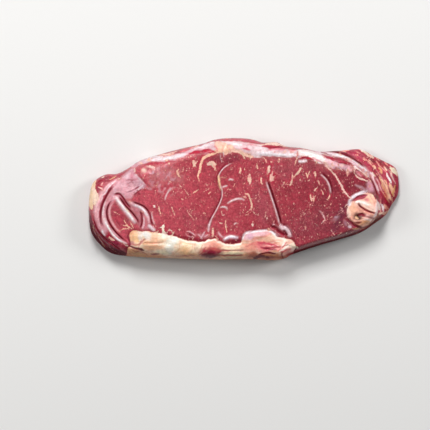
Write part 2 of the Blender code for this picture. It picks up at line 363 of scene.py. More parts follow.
def half_width(widths: tuple[float, ...], share: Array) -> Array:
    """Half the width of a strand at shares along it, by straight steps between its widths."""
    return 0.5 * np.interp(share, np.linspace(0.0, 1.0, len(widths)), widths)


@dataclass(frozen=True)
class Patch:
    """A soft oval of colour or shade, ragged at its edge."""

    layer: Layer
    middle: tuple[float, float]
    half: tuple[float, float]
    turn: float
    colour: str
    share: float = 0.8

    RAGGEDNESS = 0.35
    RAGGED_PITCH = 1.3

    def lay(self, sheet: Sheet) -> None:
        """Lays the patch: its share falls off as a flat-topped bell over the turned oval."""
        at = sheet.near(np.array([self.middle]), 2.0 * max(self.half))
        dx, dy = sheet.drawn_x[at] - self.middle[0], sheet.drawn_y[at] - self.middle[1]
        angle = np.radians(self.turn)
        run = (dx * np.cos(angle) + dy * np.sin(angle)) / self.half[0]
        rise = (dy * np.cos(angle) - dx * np.sin(angle)) / self.half[1]
        ragged = self.RAGGEDNESS * soft_noise(dx, dy, self.RAGGED_PITCH, 11)
        bell = np.exp(-np.clip(run ** 2 + rise ** 2 + ragged, 0.0, None) ** 2)
        sheet.tint(self.layer, at, self.share * bell, self.colour)


@dataclass(frozen=True)
class Crease:
    """A narrow valley along a line, with a lip on its left and on its right.

    Each lip lies LIP_PLACE crease widths from the line, and both ends fade out. The floor of
    the valley is darkened by painted shade, its walls by a wider red painted shade, and a pale
    skin, partly a painted highlight, lies on each lip by its share in shine.
    """

    line: Line
    depth: float
    width: float
    lips: tuple[float, float] = (0.0, 0.0)
    shine: tuple[float, float] = (0.0, 0.0)
    gloom: float = 0.6
    colour: str = "#EBD2D6"
    fade_share: float = 0.16

    LIP_PLACE = 2.1
    LIP_WIDTH = 0.9
    SHARPNESS = 1.2
    CREASE_SHADE_RED = "#98233A"
    CREASE_SHADE_RED_GAIN = 1.5
    CREASE_SHADE_RED_NARROWNESS = 0.5
    GLOOM_NARROWNESS = 1.15

    def lay(self, sheet: Sheet) -> None:
        """Cuts the valley as a bell curve across the line, and adds a bell for each lip."""
        reach = (self.LIP_PLACE + 3.0 * self.LIP_WIDTH) * self.width
        at, gap, share = sheet.round_line(self.line, reach, drawn=False)
        gap = gap * self.SHARPNESS / self.width
        fade = smooth_step(share / self.fade_share) * smooth_step((1.0 - share) / self.fade_share)
        sheet.height[at] -= fade * self.depth * np.exp(-gap ** 2)
        # Painted shade: a red bell over the valley's walls, and a narrower dark bell on its floor.
        red_shade = fade * min(1.0, self.CREASE_SHADE_RED_GAIN * self.gloom)
        red_shade = red_shade * np.exp(-(self.CREASE_SHADE_RED_NARROWNESS * gap) ** 2)
        sheet.tint(Layer.LEAN, at, red_shade, self.CREASE_SHADE_RED)
        sheet.tint(Layer.FAT, at, red_shade, self.CREASE_SHADE_RED)
        sheet.tint(Layer.SHADE, at,
                   fade * self.gloom * np.exp(-(self.GLOOM_NARROWNESS * gap) ** 2))
        for side, lip, shine in zip((1.0, -1.0), self.lips, self.shine):
            bell = np.exp(-((gap - side * self.LIP_PLACE) / self.LIP_WIDTH) ** 2)
            sheet.height[at] += fade * lip * bell
            # The lip's pale skin stands partly for a painted highlight.
            if shine > 0.0:
                sheet.lay_skin(at, fade * shine * bell, self.colour)


@dataclass(frozen=True)
class Ribbon:
    """A low round ridge along a line, covered by pale skin: a roll of membrane or a wrinkle. On the
    whitest ribbons the skin is a painted highlight along the crest.
    """

    line: Line
    width: float
    rise: float
    cover: float
    colour: str = "#EBD2D6"

    FULLNESS = 1.3

    def lay(self, sheet: Sheet) -> None:
        """Adds the ridge as a bell across the line, fading at both ends, and its pale skin, which on
        the whitest ribbons is a painted highlight.
        """
        at, gap, share = sheet.round_line(self.line, 2.0 * self.width, drawn=False)
        bell = np.exp(-(2.0 * gap / self.width) ** 2)
        fade = np.sqrt(np.clip(4.0 * share * (1.0 - share), 0.0, 1.0))
        sheet.height[at] += self.rise * fade * bell
        cover = self.cover * np.clip(self.FULLNESS * fade * bell, 0.0, 1.0)
        sheet.lay_skin(at, cover, self.colour)


@dataclass(frozen=True)
class Vein:
    """A vein or fleck of fat along a line, with its width given at even steps along it."""

    line: Line
    widths: tuple[float, ...]
    colour: str = "#F0BEA6"
    rise: float = 0.05

    HALO = "#B02840"
    HALO_SHARE = 0.5
    HALO_PLACE = 0.6
    HALO_WIDTH = 0.5
    HALO_REACH = 1.5
    LEAST_WITH_HALO = 0.4
    SOFTNESS = 0.4

    def lay(self, sheet: Sheet) -> None:
        """Lays fat as deep as half the vein's width less the distance from its line.

        The lean round a wide vein is redder, by a bell that is highest HALO_PLACE outside it.
        """
        reach = max(self.widths) + self.HALO_REACH
        at, gap, share = sheet.round_line(self.line, reach, drawn=True)
        half = half_width(self.widths, share)
        depth = half - np.abs(gap)
        halo = np.exp(-((depth + self.HALO_PLACE) / self.HALO_WIDTH) ** 2)
        halo = self.HALO_SHARE * halo * (half > self.LEAST_WITH_HALO)
        sheet.tint(Layer.LEAN, at, halo, self.HALO)
        sheet.lay_fat(at, depth, self.colour)
        sheet.height[at] += self.rise * smooth_step(depth / self.SOFTNESS + 0.5)


@dataclass(frozen=True)
class Streak:
    """A strand of another colour along a line, over lean, fat and skin alike."""

    line: Line
    widths: tuple[float, ...]
    colour: str
    share: float = 0.9

    SOFTNESS = 0.7

    def lay(self, sheet: Sheet) -> None:
        """Blends the colour in within half the width of the line, with a soft edge."""
        at, gap, place = sheet.round_line(self.line, max(self.widths), drawn=True)
        inward = half_width(self.widths, place) - np.abs(gap)
        share = self.share * smooth_step(inward / self.SOFTNESS + 0.5)
        sheet.tint(Layer.LEAN, at, share, self.colour)
        sheet.tint(Layer.FAT, at, share, self.colour)


@dataclass
class Outline:
    """The steak's outline seen from above, counter-clockwise, as four sides."""

    south: Line = field(default_factory=lambda: [
        (-86, -34.5), (-73, -36.8), (-50, -38), (-20, -38.8), (5, -38.6), (19, -39.2),
        (26.5, -38), (31, -35.6), (48, -29.9), (62, -25.8), (75, -21.6)])
    east: Line = field(default_factory=lambda: [
        (84, -15.8), (91.5, -10), (95, -4), (99.2, 3), (99.7, 12), (97.6, 20)])
    north: Line = field(default_factory=lambda: [
        (90.5, 24.2), (83, 28), (75, 32), (61, 31), (49, 30.6), (37, 32.8), (27, 33.9),
        (21, 36.5), (12.5, 36.3), (4, 38.6), (-8, 39.2), (-18, 38.3), (-27, 35.4), (-42, 32),
        (-59, 27.3), (-67.5, 24.2), (-76, 18.8), (-82, 16.2), (-88, 16)])
    west: Line = field(default_factory=lambda: [
        (-93.5, 13.6), (-97.7, 9.4), (-99.4, 1), (-99.8, -9), (-98.6, -20), (-94.4, -27.2)])
    crowded_share: float = 0.10

    def __post_init__(self) -> None:
        """Draws the closed rim and cuts it into its four sides."""
        sides = [self.south, self.east, self.north, self.west]
        self.rim: Array = spline(sum(sides, []), closed=True)
        corners = np.concatenate([[0], np.cumsum([len(side) for side in sides])]) * CURVE_STEPS
        self.sides: list[Array] = [self.rim[a:b + 1] for a, b in zip(corners, corners[1:])]

    def crowded(self, share: Array) -> Array:
        """Moves even shares closer together at both ends, where they follow a quarter circle.

        Args:
            share: Even shares from 0 to 1.

        Returns:
            The moved shares: one minus a cosine near the ends, and even steps between.
        """
        crowd = self.crowded_share
        edge = 0.5 * np.pi * crowd / (1.0 + (np.pi - 2.0) * crowd)
        from_end = np.minimum(share, 1.0 - share)
        curved = crowd * (1.0 - np.cos(0.5 * np.pi * np.clip(from_end / edge, 0.0, 1.0)))
        straight = crowd + (from_end - edge) * (1.0 - 2.0 * crowd) / (1.0 - 2.0 * edge)
        moved = np.where(from_end < edge, curved, straight)
        return np.where(share <= 0.5, moved, 1.0 - moved)

    def place(self, u: Array, v: Array) -> tuple[Array, Array]:
        """Places a square's points inside the outline as a Coons patch.

        Each point is the blend of the two sides above and below it, plus the blend of the two
        sides beside it, less the blend of the four corners.

        Args:
            u: Shares along the steak, from 0 at the west end to 1.
            v: Shares across it, from 0 at the south side to 1.

        Returns:
            The points' coordinates, in millimetres.
        """
        south, east, north, west = self.sides
        u, v = self.crowded(u), self.crowded(v)
        low, high = along(south, u), along(north[::-1], u)
        left, right = along(west[::-1], v), along(east, v)
        u, v = u[:, None], v[:, None]
        corners = ((1 - u) * (1 - v) * south[0] + u * (1 - v) * south[-1]
                   + (1 - u) * v * west[0] + u * v * north[0])
        placed = (1 - v) * low + v * high + (1 - u) * left + u * right - corners
        return placed[:, 0], placed[:, 1]


@dataclass
class Edge:
    """How the upper face rounds over into the side and the side into the foot.

    The lists give, at these bearings from the middle in degrees, the width of the rounding,
    its fullness and the height of the girdle; the painted wall shades give, at their own
    bearings, how much painted shade darkens the low side wall.
    """

    bearings: tuple[float, ...] = (0, 20, 36, 90, 140, 158, 172, 188, 199, 209, 235, 300, 318,
                                   338, 352)
    widths: tuple[float, ...] = (10, 9, 6.5, 7.5, 8, 11, 9, 7, 12, 9, 8, 7.5, 4.5, 4.0, 7)
    fullness: tuple[float, ...] = (1.9, 1.9, 2.0, 2.0, 1.9, 1.7, 1.9, 2.1, 1.6, 1.9, 2.4, 2.3,
                                   1.7, 1.6, 1.8)
    girdles: tuple[float, ...] = (3.2, 3.0, 6, 8, 7.5, 7, 6, 6, 4, 6, 8, 8, 5, 5, 4)
    wall_shade_bearings: tuple[float, ...] = (20, 90, 160, 184, 192, 203, 208, 240, 300, 312, 318, 350)
    painted_wall_shades: tuple[float, ...] = (0.1, 0.0, 0.0, 0.1, 0.6, 0.6, 0.25, 0.15, 0.4, 1.0, 1.0, 0.6)
    foot_rounding: float = 3.4

    def heights(self, outline: Outline, sheet: Sheet, on_rim: Array) -> Array:
        """Heights of a sheet's points, once its face has its relief, and painted shade on its low
        wall.

        The upper sheet rises from the girdle by the superellipse of rounded(), and the lower
        sheet falls from the girdle to the flat foot in the same way.

        Args:
            outline: The outline of the steak.
            sheet: The sheet, whose height is that of its face.
            on_rim: True for the points of the rim itself.

        Returns:
            The height of each point above the foot, in millimetres.
        """
        gap, share = beside(outline.rim, sheet.x, sheet.y)
        depth = np.where(on_rim, 0.0, np.abs(gap))
        nearest = along(outline.rim, share)
        bearing = np.degrees(np.arctan2(nearest[:, 1], nearest[:, 0])) % 360.0
        width, fullness, girdle = (np.interp(bearing, self.bearings, values, period=360.0)
                                   for values in (self.widths, self.fullness, self.girdles))
        # Painted shade on the low side wall, by bearing, strongest to the south-east.
        gloom = np.interp(bearing, self.wall_shade_bearings, self.painted_wall_shades, period=360.0)
        low_wall = 1.0 - smooth_step((depth - 0.18 * width) / (0.30 * width))
        sheet.shade = np.maximum(sheet.shade, gloom * low_wall)
        if sheet.face is Face.LOWER:
            return girdle * (1.0 - rounded(depth, self.foot_rounding, 2.0))
        return girdle + (sheet.height - girdle) * rounded(depth, width, fullness)


@dataclass
class Muscle:
    """The thick lean muscle: a nearly flat cut face that falls a little to the west."""

    face_height: float = 20.2
    west_fall: float = 2.6
    fall_start: float = -56.0
    fall_length: float = 42.0
    swell: float = 0.45
    tone_places: tuple[float, ...] = (-92, -60, -30, 0, 25, 50, 80)
    tones: tuple[str, ...] = ("#B04754", "#B64956", "#AE424E", "#A83E4A", "#9E3844", "#90303D",
                              "#842C39")
    frost_and_sheen: tuple[tuple[float, float], tuple[float, float]] = ((-50, 12), (14, 12))
    frost_and_sheen_pitch: float = 1.2
    frost_and_sheen_share: float = 0.42
    frost_and_sheen_colour: str = "#E2BCC6"
    patches: tuple[Patch, ...] = (
        # These first two skin patches are a painted sheen on the lean.
        Patch(Layer.SKIN, (-52, 16), (9, 6), 10, "#D6A6AE", 0.26),
        Patch(Layer.SKIN, (-44, 14), (6, 4), -30, "#D6A6AE", 0.2),
        Patch(Layer.LEAN, (-20, 24), (6, 4), 20, "#93404A", 0.7),
        Patch(Layer.LEAN, (-11, 25.8), (9, 3.2), 4, "#84303E", 0.8),
        Patch(Layer.LEAN, (-32, -14), (14, 6), -30, "#A24450", 0.5),
        Patch(Layer.LEAN, (36, 18), (16, 7), 0, "#A64E58", 0.6),
        Patch(Layer.LEAN, (45, -16), (18, 9), 15, "#8C3A46", 0.6),
        Patch(Layer.LEAN, (12, -6), (6, 12), 15, "#A65560", 0.4),
        Patch(Layer.LEAN, (19, -17), (4, 3), -30, "#7E2430", 0.8),
        Patch(Layer.LEAN, (60.6, -13), (9.5, 3), 64, "#6A2C3C", 0.85),
        Patch(Layer.LEAN, (63.6, -6.4), (3, 2), 50, "#7A3040", 0.8),
        Patch(Layer.SKIN, (58.4, -12.6), (3, 1.2), 30, "#C493A0", 0.35),
        Patch(Layer.SKIN, (-26, -23.5), (5, 1.2), -10, "#D89CA6", 0.4),
        Patch(Layer.LEAN, (-34.4, -22.6), (2, 1), -30, "#7C1E30", 0.9),
        Patch(Layer.LEAN, (-6, -26.8), (5, 1.3), 12, "#8A1C34", 1.0),
        Patch(Layer.LEAN, (-32, -25.6), (10, 1.2), -8, "#8E2236", 0.9),
    )

    def lay(self, sheet: Sheet) -> None:
        """Lays the face: a level with a smooth fall and slow sine swells, and its tones."""
        x, y = sheet.x, sheet.y
        swells = np.sin(x / 13.0 + 0.8) * np.cos(y / 10.0) + 0.6 * np.sin(x / 7.1 - y / 8.3)
        fall = self.west_fall * smooth_step((self.fall_start - x) / self.fall_length)
        sheet.height[:] = self.face_height - fall + self.swell * swells
        sheet.lean[:] = toned(x, self.tone_places, self.tones)
        if sheet.face is Face.UPPER:
            lay_all(sheet, self.patches)
            self.lay_frost_and_sheen(sheet)

    def lay_frost_and_sheen(self, sheet: Sheet) -> None:
        """Lays pale wisps, part thin skin and part painted sheen, from a slanting noise over an oval,
        thinning to its rim.
        """
        x, y = sheet.x, sheet.y
        middle, half = self.frost_and_sheen
        away = np.hypot((x - middle[0]) / half[0], (y - middle[1]) / half[1])
        wisps = soft_noise(0.8 * x - 0.6 * y, 0.4 * x + 0.5 * y, self.frost_and_sheen_pitch, 43)
        frost_and_sheen = smooth_step(2.0 * wisps) * smooth_step(1.6 - 1.4 * away)
        sheet.lay_skin(sheet.everywhere, self.frost_and_sheen_share * frost_and_sheen, self.frost_and_sheen_colour)


@dataclass
class Tail:
    """The thin tail beyond the shoulder, with ribs of fat and lean side by side."""

    shoulder: Line = field(default_factory=lambda: [
        (20, 46), (46, 31.5), (56, 29.5), (67, 25.5), (76.5, 20), (83, 12), (87, 1), (88, -8),
        (95, -16)])
    shoulder_width: float = 4.6
    shoulder_lead: float = 0.7
    height: float = 12.4
    fall: float = 0.34
    rib_pitch: float = 4.6
    rib_height: float = 0.55
    lean_colour: str = "#B83650"
    streak_pitch: float = 1.3
    fine_streak_pitch: float = 1.5
    streak_strength: float = 1.6
    streak_height: float = 0.15
    fat_level: float = 0.70
    fat_colour: str = "#E89C88"
    dark_share: float = 0.8
    dark_colour: str = "#8A1630"
    patches: tuple[Patch, ...] = (
        Patch(Layer.LEAN, (69, 28.8), (9, 2.2), -6, "#A8304A", 0.9),
        Patch(Layer.LEAN, (82.2, 25), (3.6, 1.4), -34, "#4A101A", 1.0),
        Patch(Layer.LEAN, (86, 22), (4, 3), -40, "#9A3038", 0.9),
        Patch(Layer.LEAN, (95, 9), (2, 7), -16, "#A82038", 0.8),
        Patch(Layer.SKIN, (80.8, 8), (2.7, 4.2), 12, "#DC9CAC", 0.95),
        Patch(Layer.SKIN, (61, 21.4), (6.4, 2.2), -14, "#FAD0D8", 0.95),
        Patch(Layer.SKIN, (67, 19.4), (3, 2.2), -30, "#F2B8C2", 0.9),
        Patch(Layer.SKIN, (74, 16.4), (2.8, 1.6), -36, "#F6B0BA", 0.95),
        Patch(Layer.LEAN, (85, 2), (0.9, 2.6), 16, "#6A3A36", 0.9),
    )
    veins: tuple[Vein, ...] = (
        Vein([(75.8, 31.6), (78.4, 30.4), (80.8, 28.4), (83.4, 26.6)], (1.0, 2.8, 3.0, 1.2),
             "#EACCB4"),
        Vein([(75.8, 31.8), (77.8, 31.3), (79.6, 30.4)], (0.8, 1.0, 0.4), "#F6F0E2"),
        # A painted highlight along the shoulder's lower edge, laid as pale fat.
        Vein([(69, 22), (71.4, 20.2), (74, 18), (77.4, 15.4), (80.2, 13.6)],
             (0.8, 1.6, 1.2, 1.3, 0.8), "#FBF0EA", 0.15),
        Vein([(69.4, 21.4), (70.7, 19.2), (70.7, 16.8), (72, 14.2), (75, 12.5), (78.6, 11.4)],
             (0.6, 1.1, 0.6, 1.3, 1.2, 0.6), "#ECC4B6", 0.12),
        Vein([(65.4, 18.4), (66, 16.2), (65.6, 14.4)], (0.8, 1.2, 0.4), "#E8B4A2"),
        Vein([(60.6, 20.6), (61.8, 18.8), (63.6, 17.6)], (0.5, 0.9, 0.4), "#EAC0B4"),
        Vein([(94.6, 19.8), (96.6, 18.2), (98, 16.2)], (1.6, 3.2, 1.4), "#F0E6C8"),
        Vein([(83.2, 21), (84.4, 19.6)], (1.6, 1.0), "#F2C8A0"),
        Vein([(86.8, 20.2), (88, 18.2), (88.6, 16)], (1.0, 1.5, 0.6), "#E6A078"),
        Vein([(82.6, 16.4), (83.8, 14.8)], (1.4, 0.8), "#F4D0AC"),
        Vein([(79.8, 24.6), (81.8, 22.6), (82.8, 21)], (0.8, 1.1, 0.4), "#E29682"),
        Vein([(89.4, 22.6), (90.8, 20.2)], (0.6, 1.0), "#E08C7A"),
        Vein([(91, 19.6), (92, 17.8)], (0.9, 0.6), "#F2BCAA"),
        Vein([(77, 26.4), (79, 24.8)], (0.5, 0.9), "#DE8C7C"),
        Vein([(72, 28.2), (73.6, 27.4)], (0.9, 0.6), "#DC8278"),
        Vein([(84.8, 24.4), (86.6, 22.4)], (0.4, 0.7), "#D88078"),
        Vein([(86.6, 14.6), (88.6, 11), (90.6, 7), (92.8, 2.6), (94.4, -1)],
             (0.8, 2.2, 3.4, 2.4, 0.9), "#F0AE92"),
        Vein([(93.2, 10.4), (95, 6), (96.2, 2)], (1.0, 2.2, 1.0), "#F2B896"),
        Vein([(91.4, 16.6), (92.6, 14.4), (93.8, 12), (94.6, 10)], (0.6, 1.6, 1.4, 0.5),
             "#FBE8E8", 0.2),
        Vein([(81.2, 16.8), (83, 13.8), (84.4, 10.6)], (0.7, 1.0, 0.4), "#FBECEA", 0.15),
        Vein([(84.6, -1), (86, -3.6), (86, -6.8)], (1.2, 2.4, 1.0), "#F8E4DE", 0.3),
        Vein([(88.2, -3.4), (89.2, -6), (89.8, -8.2)], (1.0, 2.0, 1.0), "#F6DADA", 0.3),
        Vein([(86.6, -9.6), (90.6, -9), (94, -7.4)], (1.2, 1.9, 1.3), "#F2C6AA", 0.3),
    )
    strands: tuple[Streak, ...] = (
        Streak([(86.1, 16.7), (88.4, 13.6), (89.8, 9.9)], (0.4, 0.9, 0.4), "#EEB0A6", 0.85),
        Streak([(91.6, 20.6), (95.4, 14.6), (97.6, 9.9)], (0.5, 1.0, 0.5), "#F0C8C2", 0.85),
        Streak([(88, 6), (89.6, 0.4), (92.4, -3.6)], (0.5, 0.9, 0.4), "#E88E82", 0.85),
        Streak([(90.4, 0), (92, -2.6), (93.6, -4.4)], (0.6, 1.6, 0.8), "#B4182E", 0.9),
        Streak([(95.3, 2.6), (96.4, 5.8), (97.6, 8.6)], (0.6, 1.1, 0.5), "#E2A45C", 0.85),
        Streak([(85, 24), (88.4, 20), (91, 17.4)], (0.3, 0.6, 0.3), "#E6A294", 0.8),
        Streak([(79.6, 24.2), (83.6, 20.6), (86.8, 16)], (0.3, 0.6, 0.3), "#E49A92", 0.8),
        Streak([(87.2, 4.8), (89.6, 1.2), (92.4, -2.6), (94.6, -5.8)], (1.4, 2.9, 3.4, 2.0),
               "#9E1430", 1.0),
        Streak([(89.8, 3.2), (91.8, 0.4), (93.8, -2.4)], (0.4, 0.7, 0.4), "#E49C74", 0.9),
        Streak([(88.2, 12.6), (90.2, 8.6), (92, 4.6)], (0.6, 1.0, 0.5), "#FADCB6", 0.95),
        Streak([(88.4, 9.6), (90, 6), (92, 1.8)], (0.4, 0.8, 0.4), "#D88A62", 0.9),
        Streak([(91.4, 6), (93, 2.6), (94.2, -0.6)], (0.3, 0.6, 0.3), "#FAD8B0", 0.9),
        Streak([(90.8, 11.6), (92, 8)], (0.7, 0.9), "#F4C8A0", 0.9),
        Streak([(89.2, 10.6), (91, 6.8), (92.6, 3.2)], (0.4, 0.7, 0.4), "#B4363C", 0.8),
        Streak([(92, 9.6), (93.6, 5.6), (95, 1.6)], (0.5, 0.9, 0.5), "#A01A34"),
        Streak([(90.2, 17.2), (91.4, 13.8), (92.8, 10.8)], (0.5, 1.0, 0.6), "#A81430"),
        Streak([(83.4, 14.8), (85.2, 10.4), (87.2, 5.6)], (0.6, 1.1, 0.6), "#9C1A36"),
        Streak([(85.6, 13.8), (87.4, 9.6), (88.8, 6.2)], (0.4, 0.7, 0.4), "#A82A3E"),
        Streak([(80.6, 20.4), (84.4, 15.8), (86.6, 11.6)], (0.6, 1.0, 0.5), "#942036"),
        Streak([(88, 24), (91.4, 20.6), (93.6, 17.4)], (1.6, 1.2, 0.6), "#8C2434", 0.8),
        Streak([(72.4, 16.9), (74.4, 15.9), (76.4, 14.2)], (0.6, 1.3, 0.8), "#B82C48"),
        Streak([(72, 20.4), (75.4, 18.6), (77.2, 16.8)], (0.4, 0.9, 0.3), "#9C2442"),
        Streak([(78.6, 31), (80.4, 28.6)], (0.5, 0.7), "#C4888A", 0.8),
        Streak([(81.2, 29.4), (82.6, 27)], (0.5, 0.7), "#DE9494", 0.8),
        Streak([(56, 26.4), (59.5, 25.8), (62.7, 25), (66.5, 23), (70, 21)],
               (1.0, 2.2, 2.8, 1.8, 0.8), "#8A1830", 1.0),
        # Painted shade: a near-black line just past the shoulder, where the tail drops away.
        Streak([(57, 30.6), (62, 29.8), (66.4, 28.2), (70.6, 25.8), (75, 22.6)],
               (0.8, 1.7, 1.7, 1.4, 0.6), "#4A0A18", 1.0),
        Streak([(64, 26.5), (69, 24), (74, 20.4), (78.4, 16.4)], (0.4, 0.6, 0.6, 0.4), "#C87890",
               0.8),
        Streak([(87, -2.4), (87.7, -5.6), (88, -8)], (0.5, 0.8, 0.6), "#BC3450"),
    )
    ribbons: tuple[Ribbon, ...] = (
        # The shoulder's skin; the narrow near-white ribbons on it are partly painted highlights.
        Ribbon([(44, 30.2), (50, 29.8), (57.6, 29), (61.9, 28), (66.1, 26.2), (70.4, 23.7),
                (74.7, 20.6), (78.1, 17.6), (80.8, 14.4)], 3.4, 0.5, 1.0, "#FFEAF0"),
        Ribbon([(58, 29.2), (64, 27.4), (70, 24.2), (75, 20.6), (79, 17)], 1.3, 0.2, 1.0, "#FFFCFD"),
        Ribbon([(73, 20.6), (76.6, 17.8), (80.2, 14.2)], 1.2, 0.3, 1.0, "#FCF2F2"),
        Ribbon([(80.4, 17.6), (83.2, 12.6), (85.4, 7.8), (87.4, 3.2)], 1.9, 0.3, 0.95,
               "#FBD6DC"),
        Ribbon([(84.8, 13.8), (86.8, 9.2), (88.4, 5)], 1.3, 0.25, 0.9, "#F6BCC0"),
        Ribbon([(84, 0), (85.4, -3.6), (85.2, -7.6)], 1.0, 0.3, 0.9, "#F8ECEE"),
        Ribbon([(58, 19.6), (62, 20.2), (65.8, 18)], 1.4, 0.15, 0.7, "#E8BCC6"),
        Ribbon([(70.6, 9.4), (73, 8), (76, 7.6)], 1.0, 0.1, 0.6, "#D4A6B4"),
    )
    creases: tuple[Crease, ...] = (
        Crease([(50, 31.2), (57.6, 30.4), (61.9, 29.5), (66.1, 27.9), (70.4, 25.6),
                (74.7, 22.6), (77.4, 19.8)], 0.9, 0.6, (0.1, 0.1), (0, 0), 1.0, fade_share=0.1),
        Crease([(58, 26.6), (62.6, 25.2), (66.4, 23.4), (69.6, 21.8)], 0.5, 0.35, (0, 0), (0, 0),
               0.9),
        Crease([(79.4, 14.4), (82.2, 10.8), (84, 6.4), (85.8, 1.4)], 1.1, 0.5, (0.3, 0.2), (0, 0),
               1.0),
        Crease([(71.4, 18.8), (74.4, 17.2), (78, 14.2)], 0.5, 0.3, (0, 0), (0, 0), 0.8),
    )

    def past_shoulder(self, sheet: Sheet) -> tuple[Array, Array]:
        """How far past the shoulder's line each point lies, and its share of tail, 0 to 1."""
        past = beside(spline(self.shoulder), sheet.x, sheet.y)[0]
        return past, smooth_step(past / self.shoulder_width + self.shoulder_lead)

    def lay(self, sheet: Sheet) -> None:
        """Drops the face past the shoulder by a smooth step, with sine ribs, and dresses it."""
        past, share = self.past_shoulder(sheet)
        ribs = self.rib_height * np.sin(2.0 * np.pi * past / self.rib_pitch)
        tail = self.height - self.fall * np.maximum(past, 0.0) + ribs
        sheet.height[:] = (1.0 - share) * sheet.height + share * tail
        sheet.tint(Layer.LEAN, sheet.everywhere, share, self.lean_colour)
        if sheet.face is Face.UPPER:
            self.lay_streaks(sheet, past, share)
            lay_all(sheet, self.patches, self.veins, self.ribbons, self.strands, self.creases)

    def lay_streaks(self, sheet: Sheet, past: Array, share: Array) -> None:
        """Lays fat and dark lean in streaks: the sum of two noises drawn out along the tail.

        Args:
            sheet: The upper sheet.
            past: How far past the shoulder's line each point lies.
            share: Each point's share of tail.
        """
        run = sheet.y - sheet.x
        streaks = (soft_noise(past, 0.3 * run, self.streak_pitch, 21)
                   + 0.6 * soft_noise(2.6 * past, 0.25 * run, self.fine_streak_pitch, 22))
        at = np.flatnonzero(share > 0.5)
        streaks = streaks[at]
        sheet.lay_fat(at, self.streak_strength * streaks - self.fat_level, self.fat_colour)
        dark = self.dark_share * smooth_step(-self.streak_strength * streaks - 0.1)
        sheet.tint(Layer.LEAN, at, dark, self.dark_colour)
        sheet.height[at] += self.streak_height * streaks


